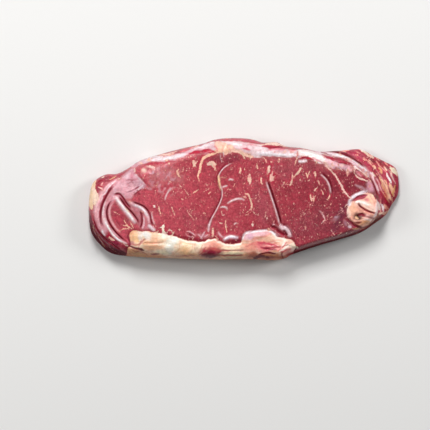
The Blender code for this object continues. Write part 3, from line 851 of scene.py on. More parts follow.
@dataclass
class FatCap:
    """The fat cap along the south side: it stands a little proud, behind a shallow valley.

    Each of the mottles has its pitch, its seed, how it is squeezed along the steak, its share
    and its colour.
    """

    border: Line = field(default_factory=lambda: [
        (-77, -46), (-74.8, -33), (-72.6, -28.5), (-73.6, -23.5), (-71.4, -20.4), (-67, -20.6),
        (-62, -20.6), (-57, -21.2), (-52.6, -21.8), (-48.2, -23), (-44, -23.9), (-40.4, -25.4),
        (-37, -26.4), (-31.6, -26.8), (-28, -27.3), (-24.6, -26.6), (-21.6, -25.5),
        (-18.6, -25.3), (-15.6, -26.6), (-12.6, -28.3), (-8.6, -28.7), (-3.4, -28.2),
        (-1.5, -26.4), (-0.4, -23.4), (1.6, -21.6), (5, -20.9), (12.3, -20.2), (16.6, -20.6),
        (19.8, -22.4), (22.2, -24.2), (25.6, -24.8), (29, -25.6), (31.6, -27.4), (33, -30),
        (32, -33.4), (31, -46)])
    rise: float = 1.5
    rise_width: float = 3.5
    valley: float = 0.55
    valley_place: float = 0.6
    valley_width: float = 0.8
    lobe_height: float = 0.3
    lobe_pitch: float = 2.6
    lobe_squeeze: float = 0.7
    colour: str = "#EABE9C"
    tone_places: tuple[float, ...] = (-74, -66, -56, -46, -38, -30, -22, -12, -3, 6, 15, 24, 31)
    tones: tuple[str, ...] = ("#E4AE80", "#EABC94", "#EEC6A0", "#EAD8C0", "#F0CA9E", "#EED8BA",
                              "#E69E88", "#EAC2A4", "#EEC0A4", "#E9A090", "#E6938A", "#E9988E",
                              "#EEC0B6")
    mottles: tuple[tuple[float, int, float, float, str], ...] = (
        (3.4, 51, 0.6, 0.45, "#E6A084"), (2.2, 52, 0.5, 0.5, "#F8E6CC"),
        (1.1, 54, 0.35, 0.35, "#DC9A80"), (0.9, 55, 0.3, 0.4, "#FAEAD6"))
    lip_and_highlight_colour: str = "#FBF2E6"
    lip_and_highlight_share: float = 0.9
    lip_place: float = 0.75
    lip_width: float = 0.55
    lip_start: float = -60.0
    lip_fade: float = 14.0
    lip_end: float = 27.0
    membrane_middle: float = 8.0
    membrane_half: float = 9.0
    shade_share: float = 0.6
    shade_place: float = 0.45
    shade_width: float = 0.45
    foot: float = -33.8
    foot_fade: float = 1.8
    foot_share: float = 0.5
    foot_colour: str = "#EC9E62"
    cell_pitch: float = 3.2
    cell_wall: float = 0.08
    cell_share: float = 0.4
    cell_colour: str = "#D08470"
    patches: tuple[Patch, ...] = (
        Patch(Layer.FAT, (-69.8, -25), (3.2, 3.4), 0, "#F0BE8E", 0.85),
        Patch(Layer.FAT, (-63.6, -22.4), (4, 1.9), -8, "#DCD6D2", 0.95),
        Patch(Layer.FAT, (-66.4, -24.8), (1.4, 2.4), 20, "#E0D4CC", 0.8),
        Patch(Layer.FAT, (-61.4, -24.6), (2.2, 1.8), 10, "#D8CEC8", 0.7),
        Patch(Layer.FAT, (-58.6, -30.8), (5.5, 2.2), 4, "#E4A888", 0.8),
        Patch(Layer.FAT, (-71.6, -28), (2.4, 1.4), -20, "#C87C80", 0.8),
        Patch(Layer.FAT, (-70.4, -34), (5, 2.2), -8, "#C88E5C", 0.95),
        Patch(Layer.FAT, (-60, -36.6), (8, 1.1), -3, "#D88E58", 0.9),
        Patch(Layer.FAT, (-47.6, -29), (2.8, 6.4), -6, "#ECE6D8", 0.95),
        Patch(Layer.FAT, (-44.6, -26.4), (2.8, 2.4), 20, "#EEE8DE", 0.85),
        Patch(Layer.FAT, (-51.4, -34.4), (4, 1.5), -10, "#F2E2BE", 0.9),
        Patch(Layer.FAT, (-38.4, -33.4), (4, 2.4), 0, "#EEB888", 0.7),
        Patch(Layer.FAT, (-28.4, -29.6), (2.4, 3), 15, "#F0E2C8", 0.85),
        Patch(Layer.FAT, (-20.4, -29.6), (5.4, 2.6), -8, "#E08878", 0.85),
        Patch(Layer.FAT, (-21.6, -34.2), (7.4, 3.3), 5, "#94243C", 1.0),
        Patch(Layer.FAT, (-22, -36), (5.4, 1.6), 0, "#6A1426", 0.9),
        Patch(Layer.FAT, (-15.8, -34), (2.4, 1.3), -30, "#8E2638", 0.9),
        Patch(Layer.FAT, (-19, -32), (4.4, 1.2), -5, "#B84C4C", 0.75),
        Patch(Layer.FAT, (-7.4, -34.4), (7.8, 1.0), 3, "#F6E6BE", 0.95),
        Patch(Layer.FAT, (-8, -37), (7, 0.9), 2, "#E8CCA0", 0.85),
        Patch(Layer.FAT, (3.4, -23.6), (4, 2.2), 24, "#DCA8B8", 1.0),
        Patch(Layer.FAT, (10, -22.2), (6, 1.3), 6, "#E8B6BE", 0.9),
        # Red lean in the pocket beside the membrane, partly darkened as painted shade.
        Patch(Layer.LEAN, (20.6, -21.2), (4.4, 1.3), -38, "#98142C", 1.0),
        Patch(Layer.FAT, (4, -30.4), (4.4, 2.4), 10, "#E69484", 0.75),
        Patch(Layer.FAT, (5.6, -35.6), (4, 2.2), 0, "#B8604C", 0.9),
        Patch(Layer.FAT, (14, -25.6), (5, 1.8), 6, "#F2C0A2", 0.8),
        Patch(Layer.FAT, (14.4, -30.2), (8, 2.8), -8, "#DC5E6C", 0.8),
        Patch(Layer.FAT, (15, -36.6), (7, 1.5), 4, "#9C4236", 0.9),
        Patch(Layer.FAT, (28, -34.6), (3, 2.2), 20, "#D87C74", 0.9),
        Patch(Layer.FAT, (21.6, -36.6), (3.4, 1.2), -8, "#D07A54", 0.9),
    )
    streaks: tuple[Streak, ...] = (
        # Red lean and painted shade down the pocket beside the membrane.
        Streak([(17.6, -19.6), (20.6, -21.2), (23.6, -23), (27, -23.9)], (0.9, 1.7, 1.7, 0.8),
               "#A80E20", 1.0),
        Streak([(-73.6, -29.8), (-70, -31), (-67.6, -31.6), (-64.4, -32.8)], (0.8, 0.9, 1.5, 0.5),
               "#8C1C30"),
        Streak([(-67.2, -31.5), (-65.6, -32.2), (-64.2, -32.8)], (0.8, 1.8, 0.6), "#56101C", 1.0),
        Streak([(-59.6, -35), (-57.2, -35.4), (-54.4, -35)], (0.5, 1.2, 0.5), "#8A2434"),
        Streak([(-73.6, -23.4), (-74, -26.6), (-72.4, -29)], (0.9, 1.3, 0.8), "#C0566A", 0.85),
        Streak([(-72, -28.6), (-69.4, -29.4), (-66.6, -28.4), (-65.6, -25.8)],
               (0.6, 0.8, 0.8, 0.5), "#CC6E64", 0.85),
        Streak([(-63.6, -25.4), (-66, -28.6), (-67.6, -30.8)], (0.5, 0.9, 0.5), "#D0807C", 0.85),
        Streak([(-65, -28.2), (-58, -28.3), (-51.6, -27.6)], (0.6, 0.9, 0.4), "#E08C6C", 0.8),
        Streak([(-72, -32), (-69.6, -33.6), (-66.4, -33.4), (-62, -35.6)], (0.4, 0.7, 0.6, 0.4),
               "#B0503C", 0.85),
        Streak([(-70.4, -35.4), (-66.4, -35), (-63.4, -36.4)], (0.5, 0.7, 0.4), "#DCA868", 0.8),
        Streak([(-43.4, -36.8), (-38, -36.4), (-31.6, -36)], (0.5, 0.8, 0.4), "#C4705C", 0.85),
        Streak([(-41, -28.4), (-41.6, -31.6), (-44, -34.8)], (0.4, 0.6, 0.4), "#D49C78", 0.7),
        Streak([(-40, -29.6), (-36.6, -30.4), (-33, -29.8)], (0.3, 0.6, 0.3), "#FAE4C4", 0.8),
        Streak([(-31.4, -28.4), (-31.8, -31), (-30.6, -33.6)], (0.3, 0.5, 0.3), "#D89C88", 0.7),
        Streak([(-26.6, -29.8), (-27.4, -32.4), (-29.4, -34.4)], (0.4, 0.6, 0.4), "#CC7C68", 0.8),
        Streak([(-24.4, -30.8), (-26, -33.4), (-28.8, -35.4)], (0.4, 0.8, 0.5), "#A83C44", 0.9),
        Streak([(-21.6, -31.4), (-18.8, -32.4), (-15, -32.6)], (0.5, 0.9, 0.5), "#C45C58", 0.85),
        Streak([(-25, -27.8), (-20.4, -27.2), (-16.4, -28.6)], (0.4, 0.9, 0.4), "#EEB098", 0.8),
        Streak([(-15.6, -35.6), (-12, -36), (-7, -35.9), (-1, -35.6)], (0.5, 0.7, 0.6, 0.4),
               "#A03C38", 0.85),
        Streak([(-15.4, -33), (-12, -32.8), (-8.4, -32.9)], (0.8, 0.7, 0.4), "#A84444", 0.85),
        Streak([(-14.6, -31), (-9, -31.4), (-3, -31)], (0.4, 0.8, 0.4), "#F4DCBA", 0.8),
        Streak([(0.6, -30.6), (5, -28.4), (10, -27.4)], (0.5, 1.1, 0.5), "#E08078", 0.8),
        Streak([(8.4, -28), (13, -28.2), (18.4, -29.4), (22.4, -30.6)], (0.6, 1.2, 1.1, 0.5),
               "#C43E54"),
        Streak([(12.6, -29.9), (15.8, -29.8), (19, -30.8)], (0.4, 0.8, 0.4), "#F0A8A0", 0.9),
        Streak([(10.8, -30.6), (14.4, -31.4), (18.3, -32.2), (21, -32.4)], (0.8, 1.6, 1.2, 0.5),
               "#94243A"),
        Streak([(9.8, -35.6), (12.8, -34.4), (15.8, -34.2), (19.8, -34.8)], (0.9, 1.4, 1.5, 0.6),
               "#6A0E1C", 1.0),
        Streak([(6.4, -38), (9, -37), (12.6, -36.6), (16, -37.2)], (1.6, 1.9, 1.2, 0.6),
               "#741622", 1.0),
        Streak([(17.4, -33.2), (20.4, -33.4), (22.6, -34)], (0.5, 0.9, 0.4), "#E8A07C", 0.85),
        Streak([(13, -36.4), (17, -35.8), (20.6, -36)], (0.4, 0.8, 0.4), "#D88E5C", 0.85),
        Streak([(21.6, -33.2), (24.4, -30.4), (27.4, -27.4)], (0.6, 1.0, 0.5), "#D45C68", 0.9),
        Streak([(22.6, -33.8), (26.2, -31.4), (29.6, -29)], (0.4, 1.1, 0.6), "#FBF0E6", 0.95),
        Streak([(23.4, -31.2), (25, -28.6), (26, -26)], (0.4, 1.0, 0.5), "#FAE8E0", 0.9),
        Streak([(23.6, -34), (26.8, -32.8), (30, -32)], (0.5, 0.9, 0.4), "#C84E5C", 0.9),
        Streak([(24.6, -33.6), (24.2, -35.6), (25, -37.6)], (0.7, 1.0, 0.6), "#9C3038", 0.9),
    )
    creases: tuple[Crease, ...] = (
        Crease([(33, -31.5), (28, -29.8), (24, -31), (18, -31.4), (12, -32.4)],
               0.7, 0.6, (0.2, 0.2), (0, 0), 0.1),
        Crease([(-74, -30), (-70, -31.4), (-64.4, -32.8)], 0.5, 0.6, (0.2, 0.2), (0, 0), 0.3),
        Crease([(-73.6, -21.4), (-74.4, -24.4), (-73, -28)], 0.5, 0.5, (0.1, 0.1), (0, 0), 0.35),
        Crease([(-62.6, -25.4), (-66.4, -28.6), (-68, -31)], 0.4, 0.6, (0.2, 0.2), (0, 0), 0.1),
        Crease([(-65, -28.2), (-57.6, -28.4), (-51, -28)], 0.35, 0.8, (0.15, 0.15), (0, 0), 0),
        Crease([(-15, -32.6), (-7, -33.1), (1, -32.8)], 0.4, 0.5, (0.1, 0.2), (0, 0), 0.2),
        Crease([(-15, -35.8), (-7, -35.9), (0, -35.5)], 0.4, 0.5, (0.2, 0.1), (0, 0), 0.3),
    )
    ribbons: tuple[Ribbon, ...] = (
        Ribbon([(-13.4, -26.8), (-11.6, -25.2), (-8.8, -24.1), (-5.8, -24.5), (-3.4, -24.8)], 1.9,
               0.5, 1.0, "#DCC4D2"),
        # A painted highlight on the membrane's upper edge.
        Ribbon([(-13, -26), (-10.6, -24.2), (-8, -23.6), (-5.4, -24.2)], 0.7, 0.2, 1.0,
               "#FDFBFD"),
        # The membrane's pale edge, partly a painted highlight.
        Ribbon([(-1.5, -26.4), (-0.3, -23), (1.6, -21.3), (6, -20.7), (13, -19.9), (17, -20.5),
                (20.2, -22.4), (22.4, -24.2)], 1.0, 0.35, 1.0, "#FBF4F8"),
        Ribbon([(-13.6, -24.6), (-15.6, -22.6), (-16.6, -20.6)], 1.0, 0.25, 0.85, "#E2B6C0"),
        Ribbon([(-37, -20.9), (-35.2, -20.7), (-32.8, -22), (-30.8, -23.8)], 0.6, 0.2, 0.95,
               "#EAC2CC"),
        Ribbon([(-37.2, -21.4), (-36.6, -23), (-34.4, -24.2), (-31.2, -24.4)], 0.5, 0.2, 0.7,
               "#DCA0AC"),
        Ribbon([(-29.4, -22.4), (-27.6, -24.2), (-26.6, -25.8)], 0.8, 0.2, 0.85, "#E6BCC4"),
        Ribbon([(-25, -20.6), (-26.4, -23), (-28, -25.4)], 0.8, 0.2, 0.85, "#E8BEC6"),
        Ribbon([(-22.6, -22.6), (-25.6, -24.2)], 0.8, 0.2, 0.8, "#E4BCC4"),
    )
    spikes: tuple[Vein, ...] = (
        Vein([(-50.4, -23), (-51.5, -20), (-51.2, -17)], (3.4, 1.4, 1.7), "#F2E4D2", 0.3),
        Vein([(-51.6, -18.6), (-53.6, -18.2)], (0.9, 0.5), "#EED8C4"),
        Vein([(-49.2, -21.6), (-48, -20), (-46.4, -20.2), (-46, -21.8)], (0.5, 0.7, 0.7, 0.5),
             "#E4BCAC"),
        Vein([(-46.4, -23.6), (-45, -21.4), (-44, -22)], (1.6, 0.8, 0.4), "#EACAB4"),
        Vein([(31, -29.6), (33, -30.6), (34.2, -31.2)], (2.6, 2.0, 1.4), "#EBD0BA"),
        Vein([(-56.4, -21.4), (-54.8, -20.4)], (1.6, 0.8), "#EBC8AC"),
        Vein([(-19.6, -18.6), (-19.8, -21), (-20.4, -23.6)], (0.7, 1.0, 1.2), "#EABFA8"),
        Vein([(-17, -25.6), (-18.6, -23.6), (-20, -23)], (1.6, 0.8, 0.4), "#E4A494"),
        Vein([(15.4, -18.6), (15.8, -19.8)], (0.6, 1.5), "#EBB49C"),
        Vein([(16.6, -18.4), (18.6, -16.4), (19.4, -14.2)], (0.4, 0.6, 0.4), "#D47C80"),
    )

    def lay(self, sheet: Sheet) -> None:
        """Raises the cap by a smooth step inside its border, and dresses it."""
        line = spline(self.border)
        shown = beside(line, sheet.x, sheet.y)[0]
        drawn = beside(line, sheet.drawn_x, sheet.drawn_y)[0]
        sheet.height += self.rise * smooth_step(-shown / self.rise_width)
        across = (self.valley_place - shown) / self.valley_width
        sheet.height -= self.valley * np.exp(-across ** 2)
        sheet.lay_fat(sheet.everywhere, -drawn, self.colour)
        if sheet.face is Face.LOWER:
            return
        lobes = soft_noise(self.lobe_squeeze * sheet.x, sheet.y, self.lobe_pitch, 37)
        sheet.height += self.lobe_height * lobes * smooth_step(-shown / 3.0)
        self.lay_tones(sheet, drawn)
        lay_all(sheet, self.patches, self.streaks)
        self.lay_lip_highlight_and_shade(sheet, drawn)
        lay_all(sheet, self.ribbons, self.creases, self.spikes)

    def lay_tones(self, sheet: Sheet, drawn: Array) -> None:
        """Lays the tones along the cap, its mottles, its warm foot and the walls of its cells.

        The walls run where a soft noise is near zero, as a narrow bell of its height.

        Args:
            sheet: The upper sheet.
            drawn: How far outside the cap's border each point is drawn.
        """
        on_cap = smooth_step(0.5 - drawn)
        tones = toned(sheet.x, self.tone_places, self.tones)
        sheet.pale += (tones - sheet.pale) * on_cap[:, None]
        for pitch, seed, squeeze, share, colour in self.mottles:
            spots = smooth_step(1.7 * soft_noise(squeeze * sheet.x, sheet.y, pitch, seed) - 0.1)
            sheet.tint(Layer.FAT, sheet.everywhere, share * on_cap * spots, colour)
        low = smooth_step((self.foot - sheet.y) / self.foot_fade)
        sheet.tint(Layer.FAT, sheet.everywhere, self.foot_share * on_cap * low, self.foot_colour)
        cells = soft_noise(self.lobe_squeeze * sheet.x, sheet.y, self.cell_pitch, 53)
        walls = self.cell_share * np.exp(-(cells / self.cell_wall) ** 2)
        sheet.tint(Layer.FAT, sheet.everywhere, on_cap * walls, self.cell_colour)

    def lay_lip_highlight_and_shade(self, sheet: Sheet, drawn: Array) -> None:
        """Lays a pale lip just inside the border, but not on the membrane, and painted shade
        outside; the lip is partly the fat's pale edge and partly a painted highlight.

        Args:
            sheet: The upper sheet.
            drawn: How far outside the cap's border each point is drawn.
        """
        # The pale lip: the fat's edge and a painted highlight.
        lip = np.exp(-((drawn + self.lip_place) / self.lip_width) ** 2)
        lip = lip * smooth_step((sheet.x - self.lip_start) / self.lip_fade)
        plain = smooth_step(np.abs(sheet.x - self.membrane_middle) - self.membrane_half)
        plain = plain * (sheet.x < self.lip_end)
        sheet.tint(Layer.FAT, sheet.everywhere, self.lip_and_highlight_share * lip * plain, self.lip_and_highlight_colour)
        # Painted shade just outside the cap's border.
        under = np.exp(-((drawn - self.shade_place) / self.shade_width) ** 2)
        sheet.tint(Layer.SHADE, sheet.everywhere, self.shade_share * under)


@dataclass
class Silverskin:
    """The pinkish white skin along the northern rim, and the slack facet at its west end; both are
    paler in places by painted highlights and a painted sheen.
    """

    border: Line = field(default_factory=lambda: [
        (-84, 23.4), (-72, 20.4), (-66.5, 21.8), (-60, 23.9), (-52, 24.2), (-46, 25), (-40, 26.4),
        (-35.5, 28.2), (-31, 30.6), (-26, 31.4), (-21.5, 31.2), (-18.5, 29.9), (-14, 28.4),
        (-10, 29.4), (-6.5, 30.8), (-2, 29.2), (3, 27.4), (9, 26.6), (14, 27.2), (20, 27),
        (27, 26.5), (33, 26.7), (38, 27.1), (42, 26.2), (46, 23.6), (50, 22.4), (54, 20.2),
        (58, 19.2), (63, 19.2), (66, 21.5), (70, 26)])
    outer: Line = field(default_factory=lambda: [
        (-90, 21.4), (-78, 19.8), (-70, 23), (-62.7, 26.6), (-56.3, 27.6), (-50, 27.7),
        (-43.5, 28.9), (-37.1, 30.6), (-29.4, 33.5), (-21.8, 36.3), (-14.1, 36.9), (-6.4, 36.8),
        (1.3, 36.2), (9, 35.2), (13, 33.8), (16.6, 31.9), (24.3, 31.8), (31, 31.2), (35, 31.4),
        (40, 31.3), (47.4, 29.8), (50.5, 28.4), (53, 26.2), (58, 24.4), (64, 22.2), (70, 19.8),
        (76, 15)])
    outer_colour: str = "#A02238"
    bare_share: float = 0.93
    thread_colour: str = "#E4A494"
    thread_pitch: float = 0.9
    thread_level: float = 0.75
    streak_pitch: float = 0.7
    rise: float = 0.5
    rise_width: float = 2.0
    # The palest tones, near x 40 to 47, are partly a painted highlight on the band.
    tone_places: tuple[float, ...] = (-70, -60, -52, -45, -37, -29, -22, -6, 1, 9, 17, 24, 32, 40,
                                      47, 55, 63, 68)
    tones: tuple[str, ...] = ("#D496A2", "#E4D0D8", "#E4DADC", "#E0C4CA", "#DEB4BC", "#E6CED4",
                              "#E4C6CC", "#EACED2", "#E8CACE", "#F0DADC", "#E6D2D6", "#DEBCC2",
                              "#E4CED2", "#FCF0EE", "#FFEEEC", "#FAC8D0", "#F0B6C0", "#D08C9C")
    facet_edge: Line = field(default_factory=lambda: [
        (-72, 22), (-68, 14), (-64.5, 10), (-61.5, 7.5), (-66, 4.5), (-72, 1), (-84, -2)])
    facet: Line = field(default_factory=lambda: [
        (-72.2, 19.4), (-69.6, 16.4), (-66.4, 12.8), (-62.8, 9), (-64.6, 6.4), (-68.6, 4.4),
        (-72, 1.6), (-76.4, 1.6), (-80, 4.6), (-83.6, 2), (-84.6, 5.6), (-82, 10.4)])
    facet_slope: float = 0.13
    facet_reach: float = 16.0
    facet_west: float = -92.0
    facet_fade: float = 12.0
    facet_skin_and_sheen_colour: str = "#DCB6C2"
    flush_colour: str = "#CC8496"
    wrinkle_height: float = 0.12
    veins: tuple[Vein, ...] = (
        Vein([(-17, 35.6), (-14, 32.6), (-12, 29.5)], (3.5, 7.0, 3.4), "#F2BCA8"),
        Vein([(-9, 32), (-15, 31), (-20.5, 28.7), (-25, 26.6), (-27.2, 23.5), (-28.5, 17.5),
              (-29.3, 14.5), (-28.5, 10.5)], (4.4, 3.8, 2.0, 1.7, 1.6, 1.2, 0.5), "#F4C0A4"),
        Vein([(-8, 31), (-3, 30), (2, 27.8), (5, 26.6)], (2.2, 2.4, 1.8, 1.0), "#F4C4B0"),
        Vein([(-1, 29), (0, 26.4), (0.4, 25.2)], (1.8, 1.0, 0.4), "#E8BCA4"),
        Vein([(3.5, 28), (4, 26), (3.6, 24.6)], (1.4, 0.9, 0.3), "#E8BCA4"),
        Vein([(14, 35.2), (19, 35.4), (24, 34.8), (26.2, 33.8)], (0.8, 2.2, 2.0, 0.6), "#F0C6B4"),
        Vein([(-50, 25), (-48.6, 23.4), (-47.6, 22)], (0.6, 1.1, 0.4), "#E8BEA8"),
    )
    rims: tuple[Streak, ...] = (
        Streak([(-35, 28.8), (-32, 29.7), (-28, 30.2), (-22, 30.6), (-18.4, 29.6)],
               (0.8, 2.0, 1.7, 2.4, 1.0), "#B01E38", 1.0),
        Streak([(-63, 22), (-57, 22.8), (-51, 23.2), (-44, 24.6)], (0.9, 1.6, 1.3, 0.7),
               "#B02C42", 0.95),
        Streak([(-56, 28.2), (-50, 28.6), (-43.4, 30.4)], (0.5, 0.9, 0.4), "#EEBEB0", 0.9),
        Streak([(-41, 30.2), (-36.6, 31.6), (-33, 33)], (0.5, 0.9, 0.5), "#D84C64", 0.9),
        Streak([(-18.6, 33.6), (-17, 31.4), (-17.4, 29.6)], (0.8, 1.4, 0.6), "#DE8486", 0.85),
        Streak([(-14.6, 35.4), (-13.4, 32.6), (-14, 29.8)], (0.5, 1.0, 0.5), "#EDA290", 0.85),
        Streak([(-11.4, 35.2), (-11.8, 33.4), (-12.8, 31.6)], (0.5, 0.9, 0.4), "#FADCC6", 0.85),
        Streak([(-0.6, 32.4), (1.6, 32), (3.6, 31.2)], (0.7, 1.4, 0.6), "#D24C60", 0.95),
        Streak([(-11.4, 33.6), (-9.6, 32), (-8.6, 30.4)], (0.4, 0.9, 0.4), "#E48C88", 0.8),
        Streak([(11.6, 33.6), (16.6, 33), (22, 33.2), (27.4, 33)], (0.8, 1.8, 1.2, 0.6),
               "#A40C2C", 1.0),
        Streak([(15.4, 31.6), (19, 31.6), (26, 31.8)], (0.8, 1.4, 0.7), "#DC8090", 0.85),
        Streak([(-23, 36.6), (-17, 37.7), (-10, 38.2), (-3, 37.8), (4, 37.2), (10, 36.4)],
               (0.5, 1.2, 1.3, 1.5, 1.3, 0.6), "#B22844", 0.8),
        Streak([(2, 35), (5, 35.2), (8.5, 34.4)], (0.5, 0.9, 0.4), "#DC8088", 0.8),
        Streak([(28.5, 31.2), (31.4, 30.9), (34, 30.7)], (0.4, 0.9, 0.3), "#DC7880", 0.9),
        Streak([(36, 26.2), (39, 26.4), (42, 25.8), (45, 24.4)], (0.8, 1.5, 1.1, 0.5),
               "#B00C28", 1.0),
        Streak([(44, 26.4), (47.4, 24.6), (50.4, 22.8)], (0.5, 0.9, 0.5), "#E0808E", 0.9),
        Streak([(50, 28.4), (54, 26.6), (58.5, 25), (63, 23.8), (67, 22.6)],
               (0.6, 1.8, 2.0, 2.4, 1.2), "#9C1A34", 1.0),
        Streak([(49.5, 30), (52.4, 29), (56, 28)], (0.8, 1.0, 0.6), "#8E1E30", 1.0),
    )
    creases: tuple[Crease, ...] = (
        Crease([(15.5, 33.2), (20, 32.9), (25.5, 33.8)], 0.35, 0.35, (0.1, 0.1), (0, 0), 0.7),
        Crease([(36.5, 26), (39, 26.3), (41.5, 27.2)], 0.3, 0.35, (0.1, 0.1), (0, 0), 0.75),
        Crease([(-15.8, 30), (-15.4, 26), (-14.6, 22.8)], 0.15, 0.3, (0.1, 0), (0.8, 0), 0.2),
        Crease([(-14, 30), (-13.6, 28), (-13, 26)], 0.1, 0.3, (0.1, 0), (0.7, 0), 0.2),
        Crease([(-68.7, 16.2), (-64.5, 12), (-59.6, 7)], 0.3, 0.5, (0, 0), (0, 0), 0.45),
        Crease([(-76, 11.2), (-73.4, 12.2), (-70.6, 11.6)], 0.25, 0.45, (0.15, 0), (0, 0), 0.45),
        Crease([(-74.5, 9.4), (-72.3, 10.6), (-70.4, 9.8)], 0.2, 0.4, (0.1, 0), (0, 0), 0.5),
        Crease([(-75.4, 4), (-72.4, 4.8), (-69.4, 6.4), (-66.4, 8.2)], 0.3, 0.4, (0.2, 0.1),
               (0, 0), 0.55),
        Crease([(-70.4, 2.4), (-68, 4.4), (-65.4, 6.4)], 0.3, 0.35, (0.2, 0.1), (0.3, 0), 0.6),
        Crease([(-68.6, 6), (-67.4, 4.2), (-66.4, 2.6)], 0.2, 0.35, (0.1, 0.1), (0.2, 0), 0.5),
        Crease([(-71.4, 6.4), (-70.2, 4.4), (-69.4, 2)], 0.2, 0.3, (0.1, 0.1), (0.2, 0), 0.4),
    )
    # On the facet's edge and the band's crests, the near-white ribbons are partly painted highlights
    # on the skin.
    ribbons: tuple[Ribbon, ...] = (
        Ribbon([(-69.8, 16.2), (-66.6, 12.9), (-63, 9)], 0.8, 0.2, 0.9, "#F0E0E6"),
        Ribbon([(-64, 9.2), (-66.4, 7.4), (-69, 6)], 0.7, 0.15, 0.85, "#F0DCE2"),
        Ribbon([(-63, 7.6), (-60.4, 6.2), (-58.4, 6.4)], 1.0, 0.1, 0.55, "#D8A6B0"),
        Ribbon([(-78, 13), (-75, 14.6), (-72.6, 17)], 1.4, 0.12, 0.8, "#E8CCD4"),
        Ribbon([(-82.4, 8), (-79.5, 7), (-77, 5.6)], 1.6, 0.12, 0.7, "#E4C2CC"),
        Ribbon([(-70.3, 20), (-70, 18.4), (-69.8, 17)], 1.0, 0.1, 0.8, "#EED2C8"),
        Ribbon([(-65.6, 19.2), (-64, 18.2), (-62.4, 17.4)], 2.6, 0.15, 0.85, "#EBCDBC"),
        Ribbon([(-63, 21), (-60, 20.4), (-57.6, 19.4), (-57.2, 17.6)], 1.2, 0.15, 0.8, "#E8C6BC"),
        Ribbon([(-61, 17.2), (-59.6, 16.2), (-57.8, 16.8), (-58.6, 18.2)], 1.1, 0.2, 0.75,
               "#DDB4C0"),
        Ribbon([(34.5, 23.9), (37.5, 24), (40.5, 24.6)], 1.7, 0.25, 1.0, "#FFEEF2"),
        Ribbon([(-59, 24.7), (-50, 25.7), (-42, 27.2), (-36.6, 29)], 1.8, 0.15, 0.9, "#EEE2E6"),
        Ribbon([(-32, 31.9), (-27, 33.4), (-22, 34.8)], 1.3, 0.12, 0.9, "#F2E4E8"),
        Ribbon([(-22, 36), (-16, 36.2), (-9, 35.6), (-1, 34.2)], 1.2, 0.12, 0.8, "#F8E8E8"),
        Ribbon([(8, 29.2), (13, 28.8), (18, 28.4), (25, 28), (32, 28.4)], 1.7, 0.15, 0.95,
               "#F2E8EC"),
        Ribbon([(35, 29.8), (40, 29.3), (44, 28.1), (48, 26.2), (51, 24)], 2.8, 0.15, 1.0,
               "#FFF6F2"),
    )

    def lay(self, sheet: Sheet) -> None:
        """Raises the skin by a smooth step past its border, tilts the facet, dresses both."""
        on_muscle = 1.0 - Tail().past_shoulder(sheet)[1]
        shown = beside(spline(self.border), sheet.x, sheet.y)[0]
        sheet.height += on_muscle * self.rise * smooth_step(shown / self.rise_width)
        behind = -beside(spline(self.facet_edge), sheet.x, sheet.y)[0]
        behind = np.clip(behind, 0.0, self.facet_reach)
        fade = smooth_step((sheet.x - self.facet_west) / self.facet_fade)
        sheet.height -= self.facet_slope * behind * fade
        self.lay_band(sheet, on_muscle)
        if sheet.face is Face.UPPER:
            self.lay_facet(sheet)
            lay_all(sheet, self.ribbons, self.veins, self.rims, self.creases)

    def lay_band(self, sheet: Sheet, on_muscle: Array) -> None:
        """Lays streaked skin past the border, and bare lean with threads beyond the outer line.

        Args:
            sheet: The sheet.
            on_muscle: Each point's share of muscle, which is 0 on the tail.
        """
        drawn = beside(spline(self.border), sheet.drawn_x, sheet.drawn_y)[0]
        streaks = soft_noise(0.22 * sheet.x, sheet.y, self.streak_pitch, 33)
        cover = smooth_step((drawn + 0.9 + 0.7 * streaks) / 1.8) * (0.88 + 0.12 * streaks)
        cover = on_muscle * np.maximum(cover, 0.1 * smooth_step((drawn + 4.0) / 4.0))
        beyond = beside(spline(self.outer), sheet.drawn_x, sheet.drawn_y)[0]
        bare = on_muscle * smooth_step(beyond / 0.9 + 0.5)
        cover *= 1.0 - self.bare_share * bare
        sheet.tint(Layer.LEAN, sheet.everywhere, 0.9 * bare, self.outer_colour)
        threads = soft_noise(0.3 * sheet.x, sheet.y + sheet.height, self.thread_pitch, 39)
        at = np.flatnonzero(bare > 0.7)
        sheet.lay_fat(at, 1.5 * threads[at] - self.thread_level, self.thread_colour)
        free = (cover > sheet.veil) & (sheet.fat < -0.4)
        share = (np.clip(sheet.skin_strength * cover, 0.0, 1.0) * free)[:, None]
        sheet.pale += (toned(sheet.x, self.tone_places, self.tones) - sheet.pale) * share
        sheet.veil = np.maximum(sheet.veil, cover)

    def lay_facet(self, sheet: Sheet) -> None:
        """Lays the facet's blotched skin, partly a painted sheen, its flushes and its low wrinkles,
        by soft noises.
        """
        at = sheet.near(np.array(self.facet), 4.0)
        x, y = sheet.x[at], sheet.y[at]
        depth = inside(self.facet, sheet.drawn_x[at], sheet.drawn_y[at])
        cover = (0.78 + 0.16 * soft_noise(x, y, 3.1, 35)) * smooth_step(depth / 2.2 + 0.4)
        sheet.lay_skin(at, cover, self.facet_skin_and_sheen_colour)
        flushed = smooth_step(1.7 * soft_noise(x, y, 2.4, 38) - 0.1)
        sheet.tint(Layer.FAT, at, 0.6 * flushed * smooth_step(depth), self.flush_colour)
        wrinkles = soft_noise(x * 0.6, y, 1.1, 31)
        sheet.height[at] += self.wrinkle_height * wrinkles * smooth_step(depth / 3.0)


